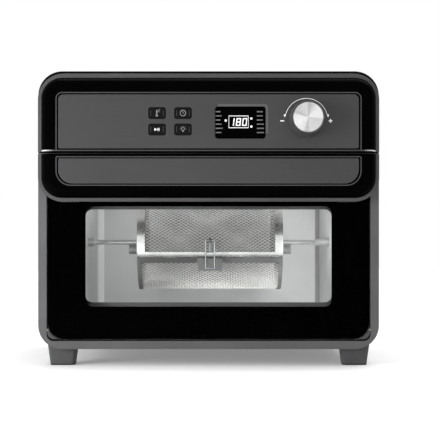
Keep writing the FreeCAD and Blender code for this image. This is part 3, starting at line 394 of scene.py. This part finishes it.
def bare_metal(name, colour, roughness=0.28, metallic=0.9):
    """Drawn or turned metal with fine scratches."""
    made, tree, shader = start(name, colour, roughness, metallic)
    point = place(tree)
    scratch = noise(tree, point, scale=1400.0, detail=4.0)
    tint(tree, shader, noise(tree, point, scale=60.0), colour, darker=0.88, lighter=1.08)
    polish(tree, shader, scratch, low=roughness - 0.08, high=roughness + 0.08)
    bump(tree, shader, scratch, strength=0.05, distance=0.05 * mm)
    return made


def strapped_metal(name, colour, strap):
    """Bare metal frame whose middle strap, above the bar, is duller than the rest."""
    made = bare_metal(name, colour, roughness=0.22, metallic=0.95)
    tree, shader = opened(made)
    blur = 0.5 * mm
    bar_top = (latch_middle.x, 0.0, latch_top - strap_height)
    parts = axes(tree, place(tree, origin=bar_top))
    from_middle = combine(tree, "ABSOLUTE", parts["X"])
    narrow = rise(tree, from_middle, strap_half_width + blur, strap_half_width)
    above = rise(tree, parts["Z"], 0.0, blur)
    overlay(tree, shader, combine(tree, "MULTIPLY", narrow, above), strap)
    return made


def mesh_metal(name, colour, inward_shade, axis):
    """Drawn metal that is bright outside, with painted shade on the side towards an axis along X."""
    made = bare_metal(name, colour, metallic=0.5)
    tree, shader = opened(made)
    outward = add(tree, "ShaderNodeVectorMath", operation="NORMALIZE")
    tree.links.new(place(tree, stretch=(0.0, 1.0, 1.0), origin=axis), outward.inputs[0])
    turned_out = add(tree, "ShaderNodeVectorMath", operation="DOT_PRODUCT")
    tree.links.new(facing(tree), turned_out.inputs[0])
    tree.links.new(outward.outputs[0], turned_out.inputs[1])
    # Painted shade on the faces that turn towards the axis
    overlay(tree, shader, rise(tree, turned_out.outputs["Value"], start_at=0.3, end_at=-0.3), inward_shade)
    return made


def clear_glass(name, colour):
    """Clear pane with a slightly uneven polish, and so little gloss that it mirrors no studio white."""
    made, tree, shader = start(name, colour, roughness=0.0, specular=0.03)
    shader.inputs["Transmission Weight"].default_value = 1.0
    shader.inputs["IOR"].default_value = 1.05
    polish(tree, shader, noise(tree, place(tree), scale=25.0), low=0.0, high=0.015)
    return made


def lit_print(name, colour, glow=0.0):
    """Printed marks, or lit ones with a glow of their own."""
    made, tree, shader = start(name, colour, roughness=0.5, specular=0.2)
    speck = noise(tree, place(tree), scale=1800.0, detail=2.0)
    tint(tree, shader, speck, colour, darker=0.94, lighter=1.04)
    shader.inputs["Emission Color"].default_value = opaque(colour)
    shader.inputs["Emission Strength"].default_value = glow
    return made


def circuit_board(name, colour):
    """Solder resist with lighter tracks."""
    made, tree, shader = start(name, colour, roughness=0.35, specular=0.4)
    tracks = add(tree, "ShaderNodeTexBrick")
    tracks.inputs["Scale"].default_value = 160.0
    for socket, share in (("Color1", 1.0), ("Color2", 0.8), ("Mortar", 1.9)):
        tracks.inputs[socket].default_value = opaque(colour, share)
    tree.links.new(place(tree), tracks.inputs["Vector"])
    tree.links.new(tracks.outputs["Color"], shader.inputs["Base Color"])
    return made


finishes = {
    powder_coat("casing_paint", casing_grey): ("casing_wrap", "base_plate", "rear_panel"),
    moulded("frame_grey", casing_grey, roughness=0.45): ("front_frame",),
    moulded("door_grey", door_grey): ("door_frame",),
    moulded("black_plastic", plain_black, roughness=0.45, specular=0.03): (
        "head_housing", "rear_spacers", "cord_gland"),
    soled("foot_plastic", foot_grey, rubber_black): ("feet",),
    moulded("satin_rim", rim_grey, roughness=0.4): ("head_rim", "handle_shell"),
    gloss("gloss_black", gloss_black): ("head_fascia", "handle_fascia"),
    moulded("mask_print", gloss_black, roughness=0.6, specular=0.0): ("window_mask",),
    # Trim lines: painted highlight towards their ends, and painted shade in gloss black on their undersides
    edge_metal("trim_metal", trim_grey, trim_painted_highlight, gloss_black): ("panel_trim", "handle_trim"),
    brushed("panel_brushed", panel_grey): ("control_panel", "handle_panel"),
    gloss("display_glass", gloss_black): ("display_window",),
    moulded("button_black", button_black, roughness=0.3, specular=0.06): (
        "button_start", "button_light", "button_temperature", "button_time"),
    moulded("knob_dark", knob_grey, roughness=0.3, specular=0.5): ("knob_skirt",),
    spun("knob_metal", spun_metal, knob_middle): ("knob_cap",),
    clear_glass("clear_glass", pane_tint): ("outer_glass", "inner_glass", "lamp_lens"),
    powder_coat("door_inner_sheet", door_enamel): ("inner_panel",),
    moulded("seal_rubber", rubber_black, roughness=0.7, specular=0.2): ("door_seal",),
    sheet_metal("liner_steel", liner_steel): ("heater_dome", "fan_guard", "motor_bracket"),
    folded_sheet("liner_sheet", liner_steel): ("cavity_liner",),
    bare_metal("end_steel", end_steel, roughness=0.3, metallic=0.8): ("basket_ends",),
    strapped_metal("lid_steel", basket_steel, strap_steel): ("lid_frame",),
    mesh_metal("mesh_steel", mesh_steel, painted_inner_shade, basket_axis): ("basket_trough", "lid_mesh"),
    bare_metal("rim_steel", rim_steel, roughness=0.4, metallic=0.7): ("trough_rim",),
    bare_metal("shaft_steel", bright_steel, roughness=0.2): (
        "basket_shafts", "lid_hinge_pin", "latch_wire", "hinge_pins", "encoder_shaft", "fan_shaft",
        "casing_screws", "temperature_probe"),
    bare_metal("socket_steel", socket_steel, roughness=0.35, metallic=0.6): ("drive_socket", "bearing_cup"),
    bare_metal("bush_brass", brass, roughness=0.3): ("hinge_bushes",),
    bare_metal("heater_metal", heat_black, roughness=0.55, metallic=0.4): ("heater_coil",),
    bare_metal("fan_aluminium", dull_aluminium, roughness=0.4): ("convection_fan", "cooling_fan"),
    powder_coat("motor_case", motor_grey): ("fan_motor", "gear_motor", "rotary_encoder"),
    circuit_board("board_green", board_green): ("control_board", "power_board"),
    moulded("lamp_ceramic", ceramic): ("oven_lamp", "door_switch"),
}
material_of = {made.name: made for made in finishes}


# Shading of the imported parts

def smoothing_group(limit, weld_distance):
    """Nodes of a modifier that shades curved faces smooth and keeps edges that are sharper than a limit."""
    group = bpy.data.node_groups.new("smooth_by_angle", "GeometryNodeTree")
    group.interface.new_socket("Geometry", in_out="INPUT", socket_type="NodeSocketGeometry")
    group.interface.new_socket("Geometry", in_out="OUTPUT", socket_type="NodeSocketGeometry")
    source = add(group, "NodeGroupInput")
    result = add(group, "NodeGroupOutput")
    weld = add(group, "GeometryNodeMergeByDistance")
    weld.inputs["Distance"].default_value = weld_distance
    angle = add(group, "GeometryNodeInputMeshEdgeAngle")
    flat_enough = add(group, "FunctionNodeCompare", data_type="FLOAT", operation="LESS_THAN")
    flat_enough.inputs["B"].default_value = limit
    edges = add(group, "GeometryNodeSetShadeSmooth", domain="EDGE")
    faces = add(group, "GeometryNodeSetShadeSmooth", domain="FACE")
    group.links.new(source.outputs[0], weld.inputs["Geometry"])
    group.links.new(angle.outputs["Unsigned Angle"], flat_enough.inputs["A"])
    group.links.new(weld.outputs[0], edges.inputs["Geometry"])
    group.links.new(flat_enough.outputs["Result"], edges.inputs["Shade Smooth"])
    group.links.new(edges.outputs[0], faces.inputs["Geometry"])
    group.links.new(faces.outputs[0], result.inputs[0])
    return group


smooth = smoothing_group(limit=math.radians(28.0), weld_distance=0.001 * mm)
panes = ("outer_glass", "inner_glass")


def give(piece, material):
    piece.data.materials.clear()
    piece.data.materials.append(material)


def shade_smooth(piece):
    modifier = piece.modifiers.new("smooth", "NODES")
    modifier.node_group = smooth


for made, members in finishes.items():
    for member in members:
        give(nodes[member], made)
        if member in panes:
            nodes[member].visible_shadow = False
        else:
            shade_smooth(nodes[member])


# Pieces made here

def new_object(name, data):
    """Object in the scene that holds a mesh, a lamp or a camera."""
    made = bpy.data.objects.new(name, data)
    bpy.context.scene.collection.objects.link(made)
    return made


def new_piece(name, points, faces, material, body):
    """Mesh with a material, which rides on a body."""
    mesh = bpy.data.meshes.new(name)
    mesh.from_pydata(points, [], faces)
    mesh.validate()
    piece = new_object(name, mesh)
    give(piece, material)
    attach(piece, body)
    return piece


# Expanded metal of the basket
strand_thickness = 0.8 * mm
strand_width = 1.1 * mm
mesh_columns = 56
lid_rows = 112
trough_rows = 72


def expanded_metal(name, node, body, first, last, rows):
    """Lattice of small diamonds bent round the basket's axis, in place of a coarse perforated sheet.

    Angles run from the front over the top to the back."""
    low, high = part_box(node)
    radius = basket_radius - strand_thickness / 2
    step_x = (high.x - low.x) / mesh_columns
    step_angle = (last - first) / rows
    points = []
    index = {}
    faces = []

    def corner(column, row):
        if (column, row) not in index:
            angle = math.radians(first + row * step_angle)
            index[column, row] = len(points)
            points.append((
                low.x + column * step_x,
                basket_axis.y - radius * math.cos(angle),
                basket_axis.z + radius * math.sin(angle),
            ))
        return index[column, row]

    for row in range(1, rows):
        for column in range(1, mesh_columns):
            if (row + column) % 2 == 0:
                ring = [corner(column - 1, row), corner(column, row + 1), corner(column + 1, row)]
                faces.append(ring + [corner(column, row - 1)])
    piece = new_piece(name, points, faces, material_of["mesh_steel"], body)
    wires = piece.modifiers.new("strands", "WIREFRAME")
    wires.thickness = strand_width
    wires.use_even_offset = False
    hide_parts(node)


def split_angle(height):
    """Angle above the level of the shaft, in degrees, of a height on the basket's surface."""
    return math.degrees(math.asin((height - basket_axis.z) / basket_radius))


lid_edge = split_angle(lid_low.z)
trough_edge = split_angle(trough_top)
expanded_metal("lid_lattice", "lid_mesh", "lid", lid_edge, 180.0 - lid_edge, lid_rows)
expanded_metal("trough_lattice", "basket_trough", "basket", 180.0 - trough_edge, 360.0 + trough_edge,
               trough_rows)


# Printed and lit marks

def on_circle(x, z, radius, angle):
    """Point on a circle at an angle in degrees."""
    turn = math.radians(angle)
    return x + radius * math.cos(turn), z + radius * math.sin(turn)


def arc_points(x, z, radius, first, last, steps):
    """Points along an arc, in equal steps from one angle to another."""
    return [on_circle(x, z, radius, first + (last - first) * i / steps) for i in range(steps + 1)]


class Marks:
    """Flat marks, as thin closed plates on an upright face, in mm to the right of and above a middle."""

    lift = 0.06 * mm
    depth = 0.05 * mm

    def __init__(self, front, centre):
        self.near = front - self.lift
        self.far = front + self.depth
        self.centre = centre
        self.points = []
        self.faces = []

    def add_points(self, line):
        """Points of a line of (x, z) places, at the plate's front and then at its back."""
        for y in (self.near, self.far):
            self.points += [(self.centre.x + x * mm, y, self.centre.z + z * mm) for x, z in line]

    def patch(self, outline):
        """Filled outline of (x, z) places."""
        first = len(self.points)
        count = len(outline)
        self.add_points(outline)
        self.faces.append([first + i for i in range(count)])
        self.faces.append([first + count + i for i in reversed(range(count))])
        for i in range(count):
            j = (i + 1) % count
            self.faces.append([first + i, first + count + i, first + count + j, first + j])

    def bar(self, x0, x1, z0, z1, slant=0.0):
        shift = slant * (z1 - z0)
        self.patch([(x0, z0), (x1, z0), (x1 + shift, z1), (x0 + shift, z1)])

    def disc(self, x, z, radius, sides=20):
        self.patch(arc_points(x, z, radius, 0.0, 360.0, sides)[:-1])

    def ribbon(self, line, width, closed=False):
        """Strip of one width along a line of (x, z) places."""
        left = []
        right = []
        count = len(line)
        for i, (x, z) in enumerate(line):
            before = line[i - 1] if i > 0 or closed else line[i]
            after = line[(i + 1) % count] if i < count - 1 or closed else line[i]
            run = Vector((after[0] - before[0], after[1] - before[1])).normalized()
            side = Vector((-run.y, run.x)) * (width / 2)
            left.append((x + side.x, z + side.y))
            right.append((x - side.x, z - side.y))
        if not closed:
            self.patch(left + right[::-1])
            return
        for i in range(count):
            self.faces += self.ring_faces(len(self.points), i, (i + 1) % count, count)
        self.add_points(left)
        self.add_points(right)

    @staticmethod
    def ring_faces(first, i, j, count):
        """Front, back and both edge faces of one step of a closed ribbon."""
        a, b, c, d = (first + k * count for k in range(4))
        return [
            [a + i, a + j, c + j, c + i], [b + i, d + i, d + j, b + j],
            [a + i, b + i, b + j, a + j], [c + i, c + j, d + j, d + i],
        ]

    def arc(self, x, z, radius, first, last, width, steps=28):
        self.ribbon(arc_points(x, z, radius, first, last, steps), width)

    def circle(self, x, z, radius, width, steps=28):
        self.ribbon(arc_points(x, z, radius, 0.0, 360.0, steps)[:-1], width, closed=True)

    def piece(self, name, material, body, slot):
        new_piece(name, self.points, self.faces, material, body)


# Glowing marks: the display's figures are lit, and the knob's print gets the same glow as a painted glow
real_and_painted_glow_mark = lit_print("lit_figures", white, glow=0.35)
dim_mark = lit_print("printed_marks", print_grey)
# Painted highlight along the edges of the buttons' raised faces
edge_highlight_mark = lit_print("faint_lines", panel_grey)
square = ((-1, -1), (1, -1), (1, 1), (-1, 1))


# Display, with sizes in mm and places from its middle
figure_wide = 5.4
figure_tall = 9.0
figure_stroke = 1.3
figure_gap = 0.12 * figure_stroke
figure_slant = 0.12
figure_z = 0.7
figure_places = {"1": -9.7, "8": -2.2, "0": 4.9}
all_sides = {"top", "bottom", "lower_left", "upper_left", "lower_right", "upper_right"}
figure_segments = {"1": {"lower_right", "upper_right"}, "8": all_sides | {"middle"}, "0": all_sides}
box_x = -2.1
box_z = 0.9
box_half_width = 11.2
box_half_height = 6.8
box_line = 0.8
dot_radius = 1.3
dot_places = ((-16.9, 2.5), (12.6, 4.8), (12.6, -4.5))
label_columns = (-28.4, 19.0)
label_top = 12.6
label_pitch = 4.8
# Letters of the left and the right label in each row
label_letters = ((4, 5), (5, 5), (4, 5), (5, 6), (6, 6), (5, 6))
letter_pitch = 1.4
letter_wide = 0.65 * letter_pitch
letter_tall = 1.3
# Painted highlight strip on the display cut-out's bevel: width, gap and corner
bevel_width = 2.6
bevel_gap = 0.2
bevel_corner = 3.0


def seven_segments(marks, x, z, lit):
    """One slanted figure about a place, from the names of its lit segments."""
    half = figure_tall / 2
    level_bars = {"top": half - figure_stroke, "middle": -figure_stroke / 2, "bottom": -half}
    for name, base in level_bars.items():
        if name in lit:
            left = x - figure_wide / 2 + figure_slant * base
            right = left + figure_wide
            low = z + base
            marks.bar(left + figure_gap, right - figure_gap, low, low + figure_stroke, figure_slant)
    upright_bars = {
        "lower_left": (0, -half),
        "upper_left": (0, 0),
        "lower_right": (1, -half),
        "upper_right": (1, 0),
    }
    for name, (side, base) in upright_bars.items():
        if name in lit:
            left = x - figure_wide / 2 + side * (figure_wide - figure_stroke) + figure_slant * base
            low = z + base
            marks.bar(left, left + figure_stroke, low + figure_gap, low + half - figure_gap, figure_slant)


def label(marks, x, z, letters):
    """Row of small blocks, as a label without words."""
    for index in range(letters):
        left = x + index * letter_pitch
        marks.bar(left, left + letter_wide, z - letter_tall / 2, z + letter_tall / 2)


def display_figures():
    """Lit figures in an outlined box, and indicator dots beside it."""
    marks = Marks(display_low.y, display_middle)
    outline = [(box_x + sx * box_half_width, box_z + sz * box_half_height) for sx, sz in square]
    marks.ribbon(outline, box_line, closed=True)
    for figure, x in figure_places.items():
        seven_segments(marks, x, figure_z, figure_segments[figure])
    for x, z in dot_places:
        marks.disc(x, z, dot_radius)
    marks.piece("display_figures", real_and_painted_glow_mark, "housing", "display_glass")


def display_labels():
    """Two columns of wordless labels."""
    marks = Marks(display_low.y, display_middle)
    for row, counts in enumerate(label_letters):
        for x, letters in zip(label_columns, counts):
            label(marks, x, label_top - row * label_pitch, letters)
    marks.piece("display_labels", dim_mark, "housing", "display_glass")


def display_bevel_highlight():
    """Painted highlight, as a flat strip, on the bevel of the panel's cut-out above and to the right of the
    display.
    """
    marks = Marks(panel_front, display_middle)
    half = (display_high - display_low) / 2 / mm
    top = half.z + bevel_gap + bevel_width / 2
    right = half.x + bevel_gap + bevel_width / 2
    line = [(bevel_corner - half.x, top)]
    line += arc_points(right - bevel_corner, top - bevel_corner, bevel_corner, 90.0, 0.0, steps=8)
    line.append((right, 2 * bevel_corner - half.z))
    marks.ribbon(line, bevel_width)
    # Painted highlight in a lighter grey, flat on the panel
    marks.piece("display_bevel_highlight", powder_coat("bevel_highlight_grey", bevel_highlight_grey), "housing", "panel_brushed")


display_figures()
display_labels()
display_bevel_highlight()


# Pictograms on the buttons, with places in mm from each button's middle

def thermometer(marks):
    marks.disc(-0.3, -2.6, radius=1.5)
    marks.bar(-1.0, 0.4, -2.2, 3.4)
    marks.arc(2.8, 2.6, radius=1.3, first=60.0, last=300.0, width=0.6)


def clock(marks):
    marks.circle(0.0, 0.0, radius=3.2, width=0.8)
    marks.ribbon([(0.0, 2.0), (0.0, 0.0), (1.3, -0.4)], width=0.6)


def play_pause(marks):
    half_height = 1.7
    marks.patch([(-2.9, -half_height), (-0.1, 0.0), (-2.9, half_height)])
    for left, right in ((0.6, 1.3), (2.0, 2.7)):
        marks.bar(left, right, -half_height, half_height)


def bulb(marks):
    bulb_z = 0.6
    marks.circle(0.0, bulb_z, radius=1.7, width=0.6)
    marks.bar(-0.9, 0.9, -2.7, -1.5)
    for angle in (0.0, 45.0, 90.0, 135.0, 180.0):
        ray = [on_circle(0.0, bulb_z, radius, angle) for radius in (2.5, 3.6)]
        marks.ribbon(ray, width=0.5)


def edge_highlight_lines(marks):
    """Painted highlights, as fine upright lines where a button's raised face begins and ends."""
    half_height = 3.2
    half_width = 0.25
    for middle_x in (-7.3, 7.3):
        marks.bar(middle_x - half_width, middle_x + half_width, -half_height, half_height)


def button_print(button, suffix, draw, material):
    """Piece of marks on a button's face, drawn by a function."""
    marks = Marks(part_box(button)[0].y, middle(button))
    draw(marks)
    marks.piece(button + suffix, material, button, "button_black")


icons = {
    "button_temperature": (thermometer, dim_mark),
    "button_time": (clock, dim_mark),
    "button_start": (play_pause, real_and_painted_glow_mark),
    "button_light": (bulb, dim_mark),
}
for button, (draw, material) in icons.items():
    button_print(button, "_icon", draw, material)
    # Painted highlight lines at the edges of each button's raised face
    button_print(button, "_lines", edge_highlight_lines, edge_highlight_mark)


# Scale round the knob, with sizes in mm and places from its middle
scale_radius = 24.6
scale_line = 0.55
arrow_x = 24.9
arrow_half_width = 1.3
arrow_base = 6.0
arrow_tip = 2.6
sign_x = 27.8
sign_z = -1.3
sign_half = 2.2
sign_half_stroke = 0.55


def knob_signs():
    """Arrow tips at the ends of the arc, a minus on the left and a plus on the right."""
    marks = Marks(panel_front, knob_middle)
    for side in (-1, 1):
        x = side * arrow_x
        marks.patch([(x - arrow_half_width, arrow_base), (x, arrow_tip), (x + arrow_half_width, arrow_base)])
        x = side * sign_x
        marks.bar(x - sign_half, x + sign_half, sign_z - sign_half_stroke, sign_z + sign_half_stroke)
    for low, high in ((sign_half_stroke, sign_half), (-sign_half, -sign_half_stroke)):
        marks.bar(sign_x - sign_half_stroke, sign_x + sign_half_stroke, sign_z + low, sign_z + high)
    # Print with a painted glow
    marks.piece("knob_signs", real_and_painted_glow_mark, "housing", "panel_brushed")


def knob_scale():
    """Arc round the upper half of the knob."""
    marks = Marks(panel_front, knob_middle)
    marks.arc(0.0, 0.0, scale_radius, first=14.0, last=166.0, width=scale_line, steps=40)
    # Print with a painted glow
    marks.piece("knob_scale", real_and_painted_glow_mark, "housing", "panel_brushed")


knob_signs()
knob_scale()


# Floor, light and camera, with places in metres and the sensor and lens in mm
floor_half = 12.0
floor_lift = 0.23
soft_light_left = 0.62
soft_light_right = 0.22
camera_place = (0.0, -1.4455, 0.126)
camera_sensor = 36.0
camera_lens = 90.63
camera_shift_x = 0.0260
camera_shift_y = 0.0880

# Places of the oven's lamps, from the ceiling, the middle, the mouth and the cavity's floor
lamp_drop = 4 * mm
mouth_x = 130 * mm
mouth_depth = 25 * mm
hearth_x = 60 * mm
hearth_depth = 40 * mm
hearth_height = 46 * mm


def seen_level(tree, unseen, seen):
    """One level for what the camera, gloss and glass see, and another for the light that is sent out."""
    path = add(tree, "ShaderNodeLightPath")
    looked_at = path.outputs["Is Camera Ray"]
    for ray in ("Is Glossy Ray", "Is Transmission Ray"):
        looked_at = combine(tree, "MAXIMUM", looked_at, path.outputs[ray])
    return spread(tree, looked_at, unseen, seen, 0.0, 1.0)


def floor():
    """Pale paper that takes the shadow, lifted to white for the eye only."""
    mesh = bpy.data.meshes.new("floor")
    mesh.from_pydata([(x * floor_half, y * floor_half, 0) for x, y in square], [], [(0, 1, 2, 3)])
    piece = new_object("floor", mesh)
    made, tree, shader = start("floor_paper", floor_colour, roughness=0.9, specular=0.0)
    tooth = noise(tree, place(tree), scale=300.0)
    tint(tree, shader, tooth, floor_colour, darker=0.995, lighter=1.005)
    shader.inputs["Emission Color"].default_value = (1.0, 1.0, 1.0, 1.0)
    tree.links.new(seen_level(tree, unseen=0.0, seen=floor_lift), shader.inputs["Emission Strength"])
    give(piece, made)


def world():
    """White to look at, and soft light that falls off from left to right."""
    sky = bpy.data.worlds.new("studio")
    bpy.context.scene.world = sky
    sky.use_nodes = True
    tree = sky.node_tree
    background = tree.nodes["Background"]
    background.inputs["Color"].default_value = (1.0, 1.0, 1.0, 1.0)
    across = axes(tree, add(tree, "ShaderNodeTexCoord").outputs["Generated"])["X"]
    level = seen_level(tree, unseen=0.0, seen=1.0)
    soft_light = spread(tree, across, soft_light_left, soft_light_right, -1.0, 1.0)
    # The light that is sent out is no single level, so the falling one takes its place
    tree.links.new(soft_light, level.node.inputs["To Min"])
    tree.links.new(level, background.inputs["Strength"])


def lamp(name, kind, energy, aim):
    """Lamp that shines in the direction of aim."""
    light = bpy.data.lights.new(name, kind)
    light.energy = energy
    made = new_object(name, light)
    made.rotation_euler = Vector(aim).to_track_quat("-Z", "Y").to_euler()
    return made


def sun(energy, aim, angle):
    made = lamp("key", "SUN", energy, aim)
    made.data.angle = math.radians(angle)


def soft_box(name, energy, at, aim, width, height):
    """Rectangular lamp that is not seen itself, directly, mirrored or through the glass."""
    made = lamp(name, "AREA", energy, aim)
    made.data.shape = "RECTANGLE"
    made.data.size = width
    made.data.size_y = height
    made.location = at
    made.visible_camera = False
    made.visible_transmission = False
    made.visible_glossy = False


def oven_lights():
    """Lamp under the cavity's ceiling, a soft glow at each side of the mouth and one above the floor."""
    under_ceiling = (0.0, liner_middle.y, ceiling - lamp_drop)
    soft_box("oven_light", energy=0.35, at=under_ceiling, aim=(0.0, 0.0, -1.0), width=0.26, height=0.16)
    for name, side, energy, turn in (("left_glow", -1, 0.14, 0.2), ("right_glow", 1, 0.37, 0.9)):
        mouth = (side * mouth_x, liner_low.y + mouth_depth, liner_middle.z)
        soft_box(name, energy, mouth, aim=(turn, 1.0, 0.0), width=0.05, height=0.15)
    hearth = (hearth_x, liner_low.y + hearth_depth, liner_low.z + hearth_height)
    soft_box("floor_glow", energy=0.15, at=hearth, aim=(0.4, 1.0, 0.3), width=0.2, height=0.04)


def camera():
    """Level camera in front of the oven, with the frame shifted as in the photograph."""
    data = bpy.data.cameras.new("camera")
    data.sensor_width = camera_sensor
    data.lens = camera_lens
    data.shift_x = camera_shift_x
    data.shift_y = camera_shift_y
    made = new_object("camera", data)
    made.location = camera_place
    made.rotation_euler = (math.radians(90.0), 0.0, 0.0)
    bpy.context.scene.camera = made


floor()
world()
sun(energy=2.05, aim=(-0.25, -0.26, -1.0), angle=60.0)
soft_box("left_fill", energy=6.5, at=(-0.7, -0.7, 0.22), aim=(0.7, 0.6, 0.0), width=0.4, height=0.4)
oven_lights()
camera()
bpy.context.scene.view_settings.view_transform = "Standard"
